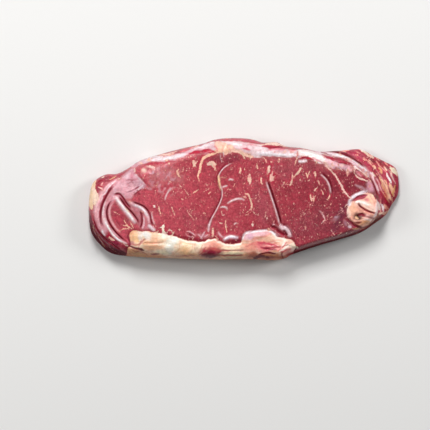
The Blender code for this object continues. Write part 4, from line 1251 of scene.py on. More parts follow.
@dataclass
class WestFolds:
    """The folded west end: nested rolls of skin round an eye of lean, and its cream rim."""

    skin: Line = field(default_factory=lambda: [
        (-78, 13), (-70, 9), (-72, 0), (-80, 0), (-85, -4), (-87, -12), (-86, -18), (-89, -24),
        (-93.4, -19.4), (-96, -12), (-97, -2), (-94, 2), (-90, 7), (-84, 11)])
    panel: Line = field(default_factory=lambda: [
        (-78, 1), (-72, -1), (-66, -4), (-61, -9), (-59, -17), (-64, -20), (-68, -17),
        (-72, -10), (-77, -4)])
    wall: Line = field(default_factory=lambda: [
        (-99.5, -7), (-97.6, -12), (-94.2, -19.4), (-89.6, -24.6), (-85, -28.6), (-79, -32.4),
        (-75.4, -36), (-84, -42), (-104, -34), (-105, -12)])
    skin_share: float = 0.62
    panel_share: float = 0.30
    blotch_share: float = 0.14
    skin_colour: str = "#E0AEB8"
    wall_shade_colour: str = "#6C2434"
    patches: tuple[Patch, ...] = (
        Patch(Layer.LEAN, (-91, 10), (7, 4), 40, "#AE3448", 0.95),
        Patch(Layer.LEAN, (-93.0, 10.8), (3, 1.3), 50, "#8A1028", 1.0),
        Patch(Layer.LEAN, (-94.4, 5.8), (1.9, 1.0), 66, "#941A34", 1.0),
        Patch(Layer.LEAN, (-88.4, 13.2), (3.6, 1.2), 20, "#962238", 1.0),
        Patch(Layer.LEAN, (-84, 12.9), (3.4, 1.4), 30, "#A83046", 0.95),
        Patch(Layer.LEAN, (-77.6, 16.8), (5, 1.3), 32, "#A22E44", 0.95),
        Patch(Layer.LEAN, (-87, -23.4), (3.4, 1.6), -44, "#A81C3A", 1.0),
        Patch(Layer.LEAN, (-83, -27.6), (4.6, 2.0), -38, "#84203A", 1.0),
        Patch(Layer.LEAN, (-76.5, -31.2), (3, 1.8), -30, "#982A3C", 1.0),
        Patch(Layer.LEAN, (-78, -14), (5, 7), 30, "#A83C4A", 0.8),
        Patch(Layer.FAT, (-96.2, 8), (1.8, 3.4), -14, "#F8E2BE", 0.8),
        Patch(Layer.FAT, (-94.6, -1.6), (1.2, 1.8), -10, "#E0A49E", 0.7),
        Patch(Layer.FAT, (-99, -3.4), (1.4, 2.6), 0, "#C89A6E", 0.8),
        Patch(Layer.FAT, (-97.6, 3), (1.3, 2.2), -10, "#F2C4B4", 0.8),
        Patch(Layer.FAT, (-95.2, 4.2), (1, 1.6), 20, "#F6E6DA", 0.8),
    )
    fold_streaks: tuple[Streak, ...] = (
        Streak([(-84, 9), (-87.6, 4.2), (-90, -1.2), (-92, -7.4), (-92.6, -12)],
               (0.5, 1.5, 1.7, 1.2, 0.5), "#AE2A40", 0.8),
        # A painted highlight along the bright edge of the fold.
        Streak([(-82.4, 11.6), (-86.4, 7.4), (-89.4, 3.2), (-91.4, -1)], (0.5, 0.9, 0.8, 0.3),
               "#F6E2E6", 0.8),
        Streak([(-93.6, 3), (-94.6, -1), (-94.8, -5)], (0.4, 0.8, 0.4), "#E8C2BE", 0.7),
    )
    veins: tuple[Vein, ...] = (
        Vein([(-95.4, 11.6), (-97.4, 6.6), (-98.4, 0), (-97.8, -6)], (1.6, 4.2, 5.0, 1.4),
             "#F2CCA6"),
        Vein([(-96, 6), (-95, 1.8), (-95.6, -3)], (1.6, 4.2, 1.6), "#F6D6BE"),
        Vein([(-93.4, 7.8), (-91.8, 7.2), (-90.4, 5.6)], (0.6, 1.2, 0.4), "#EAB8B0"),
        Vein([(-86, 12.6), (-83.6, 13.8), (-81.8, 15)], (0.5, 1.0, 0.4), "#E8B890"),
        Vein([(-91, 13.7), (-90, 14.1)], (0.8, 0.6), "#F2DCC6"),
        Vein([(-80.2, 13.2), (-79, 13.9)], (0.7, 0.4), "#F2D4C0"),
        Vein([(-91.6, 8.9), (-90, 10.2)], (0.7, 0.5), "#EABAB2"),
        Vein([(-83.6, -8), (-81.6, -9), (-79.6, -10.6)], (0.5, 0.8, 0.3), "#EAA898"),
        Vein([(-77.6, -17), (-74.4, -17.6), (-72, -19)], (0.5, 1.0, 0.6), "#F0C8A8"),
        Vein([(-72.8, -14.4), (-71.6, -16.6), (-71, -18.6)], (0.5, 0.9, 0.5), "#EAB89C"),
        Vein([(-77, -13.6), (-75.4, -15.8), (-73.8, -18.4)], (0.5, 0.7, 0.5), "#EAB49A"),
        Vein([(-80, -20.8), (-77, -19.4), (-73.6, -19)], (0.4, 0.8, 0.5), "#E8AE96"),
        Vein([(-75, -5.4), (-74.2, -7), (-73.4, -8.2)], (0.7, 0.9, 0.5), "#F6E4C4"),
        Vein([(-66, -8), (-64.6, -8.6)], (0.6, 0.5), "#E8AA9C"),
        Vein([(-73.4, -1.2), (-72.4, -2)], (0.6, 0.5), "#F2D0B8"),
        Vein([(-86, -24.6), (-84.6, -25.6), (-83, -26.4)], (1.4, 2.0, 0.8), "#EEC0AC"),
        Vein([(-77.6, -28.4), (-75, -29.6), (-72, -30.2)], (0.4, 1.0, 0.4), "#F0C4B4"),
        Vein([(-94, -22.6), (-92, -26.2), (-89.6, -30.6)], (0.5, 1.3, 0.5), "#C0946C"),
        Vein([(-97, -16.6), (-95.8, -20.4), (-94.6, -23)], (0.4, 0.9, 0.4), "#B88E72"),
        Vein([(-88, -29.6), (-83.5, -33), (-80, -35.2)], (0.3, 0.5, 0.3), "#A07468"),
    )
    # The rolls' skin; the near-white ribbons on them are painted highlights along their crests.
    ribbons: tuple[Ribbon, ...] = (
        Ribbon([(-79.8, 13.6), (-83.6, 11), (-87.3, 8.1), (-91.2, 2.4), (-93.6, -2.4),
                (-95, -7), (-95, -12)], 1.8, 0.3, 0.9, "#F2BEC4"),
        Ribbon([(-92.6, -4), (-93.4, -9), (-92.9, -14), (-91, -19.4), (-89.4, -22.6)], 1.8, 0.3,
               0.85, "#ECB8BE"),
        Ribbon([(-84, 6.6), (-87.2, 1.8), (-89.4, -3), (-90.2, -8.2), (-89.8, -13.8),
                (-88, -18.6)], 1.5, 0.35, 0.95, "#F4CCD0"),
        Ribbon([(-88.9, -1.8), (-90.2, -6), (-90.3, -10.4)], 0.7, 0.15, 1.0, "#FCF4F6"),
        Ribbon([(-83.4, -2), (-85.6, -5.2), (-86.1, -9.6), (-84.9, -14), (-82, -18.6),
                (-79, -21.6)], 1.3, 0.3, 0.85, "#ECB8BC"),
        Ribbon([(-83.6, 1.2), (-81.3, 0), (-78.9, -3.4), (-75.9, -7.4), (-72.4, -11.6),
                (-69.1, -15.8)], 2.6, 0.6, 0.95, "#F2C6CC"),
        Ribbon([(-82.6, 1), (-79.8, -1.6), (-76.6, -5.8), (-72.9, -10.4), (-69, -15.6)], 1.3,
               0.3, 1.0, "#FDF6F6"),
        Ribbon([(-74, -1.8), (-70.5, -3.4), (-65.4, -5.9), (-62.6, -9), (-60.9, -12.4),
                (-60.4, -15.6)], 2.4, 0.5, 0.9, "#F0CAD0"),
        Ribbon([(-70, -3.8), (-66.4, -5.2), (-63.6, -7.8), (-61.8, -11)], 1.2, 0.25, 1.0,
               "#FBF0F4"),
        Ribbon([(-89.4, -12), (-87.9, -16), (-86, -19.4), (-83.6, -23), (-80.4, -25.9),
                (-77, -27.7), (-74.4, -28.8)], 1.3, 0.4, 1.0, "#FFFAFA"),
        Ribbon([(-85.4, -18), (-82.6, -21.9), (-79.4, -24.6), (-76.6, -26.6)], 0.8, 0.2, 0.9,
               "#F2C8CC"),
        Ribbon([(-91, -19.6), (-90.2, -21.8), (-88.9, -23.9)], 1.0, 0.3, 1.0, "#FDF6F8"),
        Ribbon([(-64.5, -10.6), (-63.9, -15), (-65, -19.6)], 1.1, 0.3, 0.9, "#ECC4CA"),
        Ribbon([(-61.4, -16.2), (-59.6, -18), (-56.8, -20.4)], 1.9, 0.3, 1.0, "#F4E4EA"),
        Ribbon([(-76.6, 0.4), (-73.6, -3.8), (-70, -8.4)], 0.8, 0.2, 0.75, "#E6AEB2"),
        Ribbon([(-70, -12), (-68, -15)], 0.7, 0.1, 0.7, "#E8B4BA"),
    )
    creases: tuple[Crease, ...] = (
        Crease([(-82.8, 9), (-85.8, 5.4), (-88.4, 1), (-90.4, -3.6), (-91.6, -8.6),
                (-91.6, -14.2), (-90.2, -18.8)], 1.5, 0.62, (0.2, 0.2), (0, 0), 0.6),
        Crease([(-83.5, -0.9), (-86, -2.8), (-87.5, -6.4), (-87.7, -10.4), (-86.6, -14.4),
                (-84, -18.8), (-81, -22.4), (-77.6, -25.6), (-74.4, -27.8)],
               1.5, 0.48, (0.2, 0.3), (0, 0), 1.0),
        Crease([(-80.2, 2.6), (-78.4, -0.6), (-75.6, -4.6), (-71.6, -8.8), (-68.4, -13),
                (-66.9, -16.8)], 1.5, 0.45, (0.2, 0.3), (0, 0), 1.0),
        Crease([(-83.4, 1.9), (-81.6, 3.3), (-79.4, 3), (-77.6, 1.2), (-74.6, -3.2),
                (-71.6, -6.6)], 1.0, 0.6, (0.2, 0.2), (0.2, 0), 0.85),
        Crease([(-72.4, -1.5), (-68.4, -2.9), (-64.4, -4.6), (-61.7, -7.2), (-59.9, -11),
                (-59.2, -14.6), (-57.4, -18.6)], 1.4, 0.45, (0.2, 0.3), (0.1, 0), 0.95),
        Crease([(-66.9, -7.4), (-65.6, -10), (-65.2, -14.2), (-66.4, -19.2)],
               1.0, 0.45, (0.2, 0.3), (0, 0), 0.9),
        Crease([(-97, 9), (-91, 11.5), (-86, 12.8), (-80, 14.5), (-74, 17)],
               0.8, 0.9, (0.2, 0.4), (0, 0), 0.1),
        Crease([(-97.2, -10), (-93.9, -19.2), (-88.6, -25.2), (-83, -29.6), (-77, -33.4)],
               0.8, 0.5, (0.3, 0.0), (0, 0), 0.7),
        Crease([(-97, -18), (-92, -25.4), (-86, -31)], 0.4, 0.5, (0.2, 0.2), (0.2, 0.2), 0.5),
        Crease([(-82.6, -12), (-81, -15.4), (-78.4, -18.4)], 0.3, 0.5, (0.2, 0.1), (0, 0), 0.2),
    )

    def lay(self, sheet: Sheet) -> None:
        """Lays a veil over the folded end and the panel, and cuts the nested folds."""
        if sheet.face is Face.LOWER:
            return
        for border, share in ((self.skin, self.skin_share), (self.panel, self.panel_share)):
            at = sheet.near(np.array(border), 3.0)
            depth = inside(border, sheet.drawn_x[at], sheet.drawn_y[at])
            blotches = self.blotch_share * soft_noise(sheet.x[at], sheet.y[at], 2.3, 36)
            cover = (share + blotches) * smooth_step(depth / 2.4 + 0.4)
            sheet.lay_skin(at, cover, self.skin_colour)
        lay_all(sheet, self.patches, self.ribbons, self.veins, self.fold_streaks)
        # Painted shade: the west wall goes dark maroon and its skin is taken off.
        at = sheet.near(np.array(self.wall), 2.0)
        share = smooth_step(inside(self.wall, sheet.drawn_x[at], sheet.drawn_y[at]) + 0.3)
        sheet.tint(Layer.LEAN, at, share, self.wall_shade_colour)
        sheet.veil[at] *= 1.0 - 0.9 * share
        lay_all(sheet, self.creases)


@dataclass
class Seams:
    """The seams between the muscles, with ribbons of skin, partly painted highlights, and strands
    beside them.
    """

    creases: tuple[Crease, ...] = (
        Crease([(-5.6, 23.9), (-9.6, 22.8), (-13.8, 20), (-16.8, 15.4), (-16.6, 10.4),
                (-14.8, 5.2), (-15.2, 0.4), (-18, -6), (-21.6, -12.6), (-23, -18), (-23.2, -22)],
               0.55, 0.45, (0.45, 0.0), (0.95, 0.0), 0.6),
        Crease([(14.6, 13), (17.6, 4.5), (21.4, -7), (24, -16.2), (25.2, -17.4)], 2.3, 0.65,
               (0.15, 0.75), (0.1, 0.95), 1.0),
        Crease([(23.6, -16), (26, -16.7), (28.6, -18.8), (30.4, -22), (31.2, -25)], 0.9, 0.5,
               (0.0, 0.0), (0.0, 0.0), 0.9),
        Crease([(24.8, -20), (26.6, -21.6), (27.8, -23.6)], 1.2, 0.9, (0.0, 0.0), (0.0, 0.0), 1.0),
        Crease([(16.5, -17.2), (20, -18.6), (23, -21.2), (27, -23.6)],
               1.5, 0.9, (0.2, 0.2), (0.2, 0.3), 0.6),
        Crease([(49, 17), (52.3, 14.3), (54.5, 11.3), (56, 7.5), (56.6, 3)],
               1.2, 0.65, (0.0, 0.55), (0.0, 0.95), 1.0),
        Crease([(50, 25), (54, 19.5), (60.4, 12.5), (62.6, 7.5), (64.4, 4.5), (68, 0.6)],
               0.35, 0.7, (0.15, 0.15), (0.0, 0.0), 0.0),
    )
    ribbons: tuple[Ribbon, ...] = (
        Ribbon([(-10, 12), (-8.5, 12.5), (-6.5, 12)], 0.9, 0.25, 0.95),
        Ribbon([(-14, 7.5), (-12.5, 8), (-10.5, 8.5)], 0.9, 0.25, 0.9),
        Ribbon([(-11, -3), (-7.5, -1), (-4.5, 0), (-1.5, 0), (0.5, -1)], 1.0, 0.3, 1.0),
        Ribbon([(-15.5, -5.5), (-13.5, -5), (-11.5, -5.5), (-10.5, -7)], 0.9, 0.25, 0.9),
        Ribbon([(-6.5, -16.5), (-5.5, -15.5), (-4.5, -15.5)], 0.8, 0.2, 0.8),
        Ribbon([(-50.5, -1), (-50, 1.5), (-48.5, 4.5), (-46.5, 7)], 0.9, 0.25, 0.75),
        Ribbon([(22.6, -16.6), (24.6, -18.4), (26.6, -18.6), (28.4, -20.6), (29.8, -24.6)], 2.6,
               0.5, 1.0),
        Ribbon([(-21, -13), (-22.4, -17), (-22.8, -21)], 1.3, 0.2, 0.8),
        Ribbon([(48, -7.2), (50, -9.4), (51.2, -12.4)], 0.7, 0.12, 0.7, "#E6B8BC"),
        Ribbon([(36, 26), (35.4, 28)], 0.8, 0.1, 0.6),
        Ribbon([(-59, -8), (-58.6, -12), (-57, -16.4)], 0.8, 0.15, 0.7),
        Ribbon([(72, 8.4), (75.5, 7), (78, 5)], 1.6, 0.1, 0.45, "#D8B4BE"),
    )
    fat_seam: Vein = Vein([(52, 23.5), (54.5, 19), (58.5, 15), (61.5, 10), (63.6, 5.8),
                           (68, 0.8)], (1.2, 1.1, 0.9, 1.2, 1.1, 0.8), "#EEC2B4", 0.2)
    streaks: tuple[Streak, ...] = (
        Streak([(-16.4, 14.8), (-16.4, 12), (-15.6, 8.8), (-14.4, 5.6)], (0.8, 1.4, 1.2, 0.4),
               "#FFD2A4", 1.0),
        Streak([(-16, 13), (-14, 13.6), (-11.6, 13.4)], (0.4, 0.5, 0.3), "#ECB49A", 0.8),
        Streak([(14.6, 20.6), (14.8, 16.6), (16, 12.6)], (0.5, 0.9, 0.5), "#B4243C", 0.8),
        Streak([(19.6, 17.8), (19.8, 15), (19, 12)], (0.4, 0.8, 0.4), "#B4243C", 0.8),
    )

    def lay(self, sheet: Sheet) -> None:
        """Cuts the seams and lays what is beside them, on the upper face alone."""
        if sheet.face is Face.UPPER:
            lay_all(sheet, (self.fat_seam,), self.creases, self.ribbons, self.streaks)


@dataclass
class FatKnob:
    """The knob of fat in the tail corner: a low cushion with folds and a pit darkened by painted
    shade.
    """

    border: Line = field(default_factory=lambda: [
        (67, -3.5), (68.6, 0), (72, 2), (77, 4), (80.6, 3.8), (83.4, 1), (85, -3), (85.4, -8),
        (84, -12.4), (80.5, -16), (75.8, -18), (71, -16.6), (67, -12.8), (65.8, -8.5)])
    rise: float = 1.3
    rounding: float = 5.0
    pit: tuple[float, float] = (72.2, -11.5)
    pit_radius: float = 1.9
    pit_depth: float = 2.0
    colour: str = "#F0AE98"
    patches: tuple[Patch, ...] = (
        Patch(Layer.FAT, (80.6, 0.4), (2.6, 3.2), 10, "#FCD2B4", 0.95),
        Patch(Layer.FAT, (69, -5.6), (2.4, 4), 10, "#F8BEA0", 0.9),
        Patch(Layer.FAT, (67, -8.4), (0.9, 3.4), 4, "#FAD8C2", 0.8),
        Patch(Layer.FAT, (77.8, -14.2), (4.6, 2), 20, "#E6A478", 0.9),
        Patch(Layer.FAT, (79, -11.2), (3.8, 1.5), -14, "#F4CEC2", 0.9),
        Patch(Layer.FAT, (78.4, -0.8), (1.8, 1.3), 0, "#E07E84", 0.9),
        # Painted shade in and beside the pit: these three dark patches.
        Patch(Layer.FAT, (72.4, -11.5), (2.8, 2.5), -10, "#4C1618", 1.0),
        Patch(Layer.FAT, (75.4, -10.2), (2.0, 0.9), -8, "#7A2628", 0.95),
        Patch(Layer.FAT, (73.2, -15.2), (2.0, 0.8), 6, "#702428", 0.9),
        Patch(Layer.LEAN, (67, -16.4), (4, 2.4), 20, "#7A3446", 0.8),
        Patch(Layer.SKIN, (67.4, -17.4), (1.4, 0.9), 0, "#E2D0D8", 0.8),
        Patch(Layer.SKIN, (64.6, -15), (0.9, 1.8), 20, "#C094A4", 0.5),
        Patch(Layer.SKIN, (58.8, -11.8), (1.5, 0.8), 10, "#D0AEBC", 0.6),
        Patch(Layer.LEAN, (84.6, -13.4), (4.6, 1.8), 42, "#984838", 0.95),
        Patch(Layer.SHADE, (72.8, -17), (2.4, 0.7), -26, "", 0.6),
    )
    streaks: tuple[Streak, ...] = (
        Streak([(70, -1), (73, 0.6), (76.4, 1.6), (78.6, 2.8)], (1.0, 2.2, 2.6, 1.0), "#9C2240", 1.0),
        Streak([(73.4, 0), (76.4, 0.4)], (0.5, 0.8), "#C86070", 0.8),
        Streak([(70.4, -1), (72.6, 0.4), (75, 1.8)], (0.5, 0.9, 0.6), "#BC5860", 0.8),
        Streak([(73, -2.8), (75.4, -5.6), (78.8, -7.6), (83.2, -9.2)], (0.6, 1.5, 1.3, 0.6),
               "#A82A38"),
        Streak([(80.4, 2.2), (82.4, -1.4), (83.8, -4.6)], (0.4, 0.8, 0.4), "#D88480", 0.7),
        # A painted highlight at the pit's centre.
        Streak([(71.3, -11.6), (72, -12.2), (72.6, -12.8)], (1.0, 1.2, 0.7), "#F0BE94", 1.0),
        Streak([(78, -10.2), (81, -11), (83.4, -12.2)], (0.4, 0.8, 0.4), "#C87070", 0.85),
        Streak([(76.4, -12.2), (79.6, -12.8), (82.4, -14)], (0.4, 0.8, 0.4), "#FBE6DA", 0.9),
        Streak([(75.6, -13.8), (78.6, -15), (81, -15.4)], (0.4, 0.8, 0.4), "#C4784E", 0.85),
        # Painted shade round the pit: these two dark strands.
        Streak([(73.6, -9.8), (75.4, -9.6), (77, -10.4)], (1.3, 1.1, 0.3), "#6E2A26", 1.0),
        Streak([(70.6, -15.2), (73, -15.4), (75, -14.8)], (0.8, 1.0, 0.5), "#6A2A28", 0.9),
        Streak([(77, -11.4), (79.6, -11.6), (83, -12.6)], (0.4, 0.7, 0.4), "#D08078", 0.8),
        Streak([(67.4, -12.4), (69, -14.8), (71.6, -16.6), (75, -18)], (0.8, 1.1, 1.3, 1.4),
               "#7E2A2C"),
        Streak([(80.8, -15.4), (84, -11.8), (86.6, -9.6)], (0.8, 1.0, 0.5), "#B86C4A", 0.8),
        Streak([(79.6, -17.4), (83.4, -14.6), (87.4, -11.8)], (0.9, 1.1, 0.6), "#6E2A22", 0.9),
    )
    veins: tuple[Vein, ...] = (
        Vein([(76.4, -18.6), (80, -16.4), (83, -13.8)], (1.2, 1.3, 0.8), "#DFA684"),
        Vein([(69, -19), (72.6, -18.6), (76, -18.4)], (0.6, 1.6, 1.2), "#D8A078"),
        Vein([(66, -15.4), (67, -16.6)], (0.7, 0.5), "#D8A8A4"),
    )
    creases: tuple[Crease, ...] = (
        Crease([(72.4, -2.6), (75.2, -5.8), (78.8, -7.8), (84, -9.8)],
               1.2, 0.6, (0.5, 0.4), (0, 0), 0.25),
        Crease([(67.6, -2.2), (70.6, 0), (74.4, 2), (78.4, 2.6)],
               0.8, 0.6, (0.3, 0.2), (0, 0), 0.4),
        Crease([(75, -11.2), (79, -11.7), (83.5, -13)], 0.6, 0.5, (0.3, 0.3), (0, 0), 0.2),
        Crease([(73, -9.8), (75.6, -9.8), (78, -10.8)], 0.8, 0.6, (0.1, 0.1), (0, 0), 0.5),
        Crease([(66.6, -13), (70, -16.8), (75, -18.6), (81, -16.8)], 0.6, 0.5, (0.2, 0.0),
               (0, 0), 0.5),
    )
    ribbons: tuple[Ribbon, ...] = (
        Ribbon([(67, -4.6), (67.8, -0.8), (70.4, 1.9), (73.8, 3.4), (76.8, 4.8), (79, 5)], 1.8,
               0.4, 1.0, "#F2E4EA"),
        Ribbon([(70.4, -1.8), (75.2, -2.7), (79.4, -4.4), (83.6, -7.2)], 2.9, 0.5, 0.95, "#F6CDBC"),
        # A painted highlight along the roll's crest.
        Ribbon([(71, -2), (74, -2), (77, -2.8), (79.4, -4)], 1.0, 0.15, 0.9, "#FFF2EA"),
        Ribbon([(80.8, -15.6), (83.4, -11.6), (84.6, -7.4), (85, -2)], 1.3, 0.3, 0.85,
               "#F2D2D0"),
        Ribbon([(75.4, -13.2), (79.4, -13.2), (82.6, -14.6)], 0.9, 0.2, 0.5, "#EFC8BA"),
        Ribbon([(66.4, -5), (66, -9), (67.2, -12.6)], 0.9, 0.2, 0.6, "#EDC2B4"),
    )

    def lay(self, sheet: Sheet) -> None:
        """Raises a cushion by a quarter circle inside the border, and presses in the pit."""
        shown = inside(self.border, sheet.x, sheet.y)
        sheet.height += self.rise * rounded(np.maximum(shown, 0.0), self.rounding, 2.0)
        away = np.hypot(sheet.x - self.pit[0], sheet.y - self.pit[1])
        sheet.height -= self.pit_depth * np.exp(-(away / self.pit_radius) ** 2)
        drawn = inside(self.border, sheet.drawn_x, sheet.drawn_y)
        sheet.lay_fat(sheet.everywhere, drawn, self.colour)
        if sheet.face is Face.UPPER:
            lay_all(sheet, self.patches, self.veins, self.ribbons, self.streaks, self.creases)


@dataclass
class Lumps:
    """Soft lumps and dips of the form: the middle, the half sizes and the height of each."""

    lumps: tuple[tuple[tuple[float, float], tuple[float, float], float], ...] = (
        ((25, -32.5), (7, 5), 1.1),
        ((9.5, -23), (12, 3.2), 0.9),
        ((-8, -25.6), (5.5, 1.7), 0.7),
        ((-77, -15), (6, 8), -0.9),
        ((-30, -33), (12, 5), 0.5),
        ((-62, -29), (9, 6), 0.6),
        ((22, 34.6), (5, 2.2), 0.8),
        ((94, 10), (4, 9), 1.2),
    )

    def lay(self, sheet: Sheet) -> None:
        """Adds each lump as a bell over its oval."""
        for middle, half, height in self.lumps:
            run = (sheet.x - middle[0]) / half[0]
            rise = (sheet.y - middle[1]) / half[1]
            sheet.height += height * np.exp(-run ** 2 - rise ** 2)


@dataclass
class Marbling:
    """Fat in the muscle: the veins that show one by one, and small flecks scattered between."""

    veins: tuple[Vein, ...] = (
        Vein([(-32, 24.2), (-31.8, 22.6), (-32.2, 20.8)], (1.6, 2.6, 1.4), "#E9C2AC"),
        Vein([(-22.8, 22.4), (-20.5, 23), (-18.4, 22)], (2.0, 3.2, 1.8), "#E4BCAA"),
        Vein([(-20, 22), (-18.6, 20), (-17.9, 17.8)], (1.6, 1.4, 0.6), "#E4BCA8"),
        Vein([(-41.8, 19.4), (-43, 17), (-40.5, 13.9)], (0.6, 1.2, 0.6)),
        Vein([(-49, 23.8), (-48, 22.4)], (0.6, 1.0)),
        Vein([(-60, 21), (-57.4, 20)], (1.2, 0.8)),
        Vein([(-38.8, 6.4), (-36.5, 3.8), (-34.8, 1.6)], (0.3, 0.7, 0.3), "#D99C8C"),
        Vein([(-32.6, 3.4), (-30.8, 4.4), (-29.2, 6)], (0.5, 0.9, 0.4)),
        Vein([(-46.6, -5.2), (-45.2, -7.8), (-43.8, -10.4)], (0.6, 0.9, 0.4)),
        Vein([(-37, -6.4), (-34.6, -10), (-32, -14.2)], (0.5, 0.7, 0.3), "#DCA492"),
        Vein([(-55.2, -3.4), (-54.2, -7), (-53.2, -10.6)], (0.4, 1.0, 0.4)),
        Vein([(-57.6, -4.4), (-57, -5.2)], (1.2, 0.8), "#F0DEDA"),
        Vein([(-23.4, 8.2), (-24.4, 9.6)], (0.6, 0.5)),
        Vein([(-22.6, 3.4), (-21.6, 4.2)], (0.9, 0.7)),
        Vein([(-26, -1.2), (-25, -2.4)], (0.5, 0.6)),
        Vein([(-40, -0.2), (-39, -0.8)], (0.9, 0.6)),
        Vein([(-26, -8.6), (-24.6, -10.6)], (0.3, 0.5)),
        Vein([(-20, -18.4), (-20, -21)], (0.7, 0.9)),
        Vein([(-11.6, -13.2), (-11.7, -16), (-11.3, -21)], (0.4, 0.7, 0.9)),
        Vein([(-15, -15.2), (-14, -15.6)], (1.3, 0.8), "#E2B4A4"),
        Vein([(-14.2, -10.2), (-12.8, -10.4)], (1.0, 0.8), "#E6B6AA"),
        Vein([(-2, 20.2), (-2.4, 17)], (0.7, 1.4)),
        Vein([(0.2, 20), (0.3, 18.6)], (0.7, 0.9)),
        Vein([(-6.8, 8), (-5.6, 9.6)], (0.7, 0.5), "#DDA08E"),
        Vein([(3.6, 15.6), (3.5, 12.6), (3.6, 9.2)], (0.7, 2.6, 0.5), "#E8BCA8"),
        Vein([(0.7, 3.4), (2.9, 2.6), (3.8, -0.3), (5, -3.4), (4.4, -6.4)],
             (0.7, 1.3, 1.1, 1.3, 0.9), "#E4B29C"),
        Vein([(4.4, -6.4), (3, -7.6), (1.6, -8.6)], (0.8, 0.5, 0.4), "#DCA492"),
        Vein([(4.4, -6.4), (6.6, -9), (8.1, -10.2)], (0.8, 0.6, 0.4), "#DCA492"),
        Vein([(5.4, 0.2), (7.6, 0.4)], (0.6, 0.5), "#D99C90"),
        Vein([(11, 13.2), (10.8, 11), (11.8, 9)], (0.9, 1.2, 0.7)),
        Vein([(16, 20.6), (15.4, 18.2), (15, 15.8)], (1.4, 2.4, 1.0), "#EAC0AE"),
        Vein([(18.2, 17.4), (17.6, 15), (17.4, 11.8)], (0.9, 2.0, 2.2), "#E4B0A2"),
        Vein([(19.6, 14.8), (18.8, 12.4)], (1.0, 1.4), "#E8BCAC"),
        Vein([(22.2, 26), (22.2, 23)], (0.5, 0.7)),
        Vein([(14, 24.6), (13.8, 23.4)], (0.8, 1.0)),
        Vein([(17.4, 24.2), (17.2, 23.6)], (1.0, 0.9)),
        Vein([(8.2, 22), (8.8, 19.8)], (0.6, 0.9)),
        Vein([(33.8, 26.4), (33.2, 24), (32.8, 21.6)], (0.6, 0.8, 0.4)),
        Vein([(35.8, 19.6), (34.4, 16.6), (31.2, 13.6), (30.6, 12.4), (29.8, 9)],
             (1.2, 1.9, 0.7, 1.2, 0.9), "#E8C0AA"),
        Vein([(31, 15.6), (30.6, 12.4)], (0.8, 1.0)),
        Vein([(24.8, 8.6), (26, 10.6)], (0.5, 0.9)),
        Vein([(27, 9.6), (28.2, 9.2)], (0.9, 0.7)),
        Vein([(36.2, 12.4), (36.4, 11.8)], (1.0, 0.8)),
        Vein([(40, 16.6), (40.4, 13.8)], (1.0, 1.4)),
        Vein([(41.8, 17.6), (41.4, 15.6)], (0.5, 0.9)),
        Vein([(45.4, 17), (45.6, 14.6)], (1.1, 1.2)),
        Vein([(46.6, 24), (45.8, 22.2)], (0.7, 0.5)),
        Vein([(47.2, 11.6), (47.6, 9.6)], (1.1, 0.7), "#E2AC9C"),
        Vein([(47.2, 8.2), (46, 6.6), (44.6, 5.2)], (0.5, 0.9, 0.8), "#E8BCAA"),
        Vein([(42.6, 2.2), (42.6, 0), (43.2, -1.6)], (1.0, 1.3, 0.6)),
        Vein([(44.6, 2), (44.4, 0), (45, -1.8)], (0.5, 1.0, 0.5)),
        Vein([(42.6, 0.2), (44.6, 0)], (1.1, 0.9)),
        Vein([(50.2, 3.4), (50.6, 3)], (1.0, 0.8)),
        Vein([(54.6, 1.8), (54.2, 0.4)], (1.0, 1.1)),
        Vein([(49.8, -8.2), (51, -11), (51.4, -13.4)], (0.3, 0.6, 0.9), "#DDA8A0"),
        Vein([(49.6, -15.6), (51.2, -13.6), (53, -14)], (0.3, 0.9, 0.3), "#DDA8A0"),
        Vein([(14, -7.6), (13.4, -11.4)], (0.4, 0.8), "#D89C92"),
        Vein([(14.4, -12), (14.2, -13.4)], (0.8, 0.6), "#E0B0A8"),
        Vein([(5.4, -16), (5.6, -17)], (1.2, 1.0), "#E8C4B6"),
        Vein([(31.8, -2.4), (32, -3.8)], (0.9, 0.6), "#D89C90"),
        Vein([(38.6, -16), (39.2, -19.6)], (0.3, 0.6), "#D09088"),
        Vein([(55.6, -20), (58, -23)], (0.5, 0.9), "#DDA498"),
        Vein([(62, -6), (63.4, -8.6)], (0.4, 0.6), "#DDA498"),
        Vein([(66.6, -3), (64.4, -5.4)], (0.8, 0.5), "#DDA498"),
        Vein([(50, 4), (49.4, 6.2)], (0.4, 0.7)),
    )
    fleck_count: int = 1100
    fleck_reach: tuple[float, float, float, float] = (-66, 84, -31, 30)
    fleck_colours: tuple[str, ...] = ("#E29A8C", "#EBB29C", "#D48480", "#F0C4B0")
    fleck_length: tuple[float, float] = (1.8, 0.55)
    least_length: float = 0.3
    fleck_turn: tuple[float, float] = (92.0, 38.0)
    fleck_bow: float = 0.22
    fleck_width: tuple[float, float] = (0.15, 0.5)
    fleck_rise: float = 0.02
    upper_seed: int = 41
    lower_seed: int = 42

    def lay(self, sheet: Sheet) -> None:
        """Lays the veins on the upper face, and seeded flecks, mostly across the steak.

        A fleck's length is a gamma draw, its turn and bow are normal draws, and its place and
        width are even ones.
        """
        seed = self.lower_seed
        if sheet.face is Face.UPPER:
            seed = self.upper_seed
            lay_all(sheet, self.veins)
        draw = np.random.default_rng(seed)
        west, east, south, north = self.fleck_reach
        for _ in range(self.fleck_count):
            x, y = draw.uniform(west, east), draw.uniform(south, north)
            length = draw.gamma(*self.fleck_length) + self.least_length
            angle = np.radians(draw.normal(*self.fleck_turn))
            run, rise = 0.5 * length * np.cos(angle), 0.5 * length * np.sin(angle)
            bow = draw.normal(0.0, self.fleck_bow) * length
            width = draw.uniform(*self.fleck_width)
            colour = self.fleck_colours[draw.integers(len(self.fleck_colours))]
            line = [(x - run, y - rise), (x - bow * np.sin(angle), y + bow * np.cos(angle)),
                    (x + run, y + rise)]
            Vein(line, (0.4 * width, width, 0.3 * width), colour, self.fleck_rise).lay(sheet)


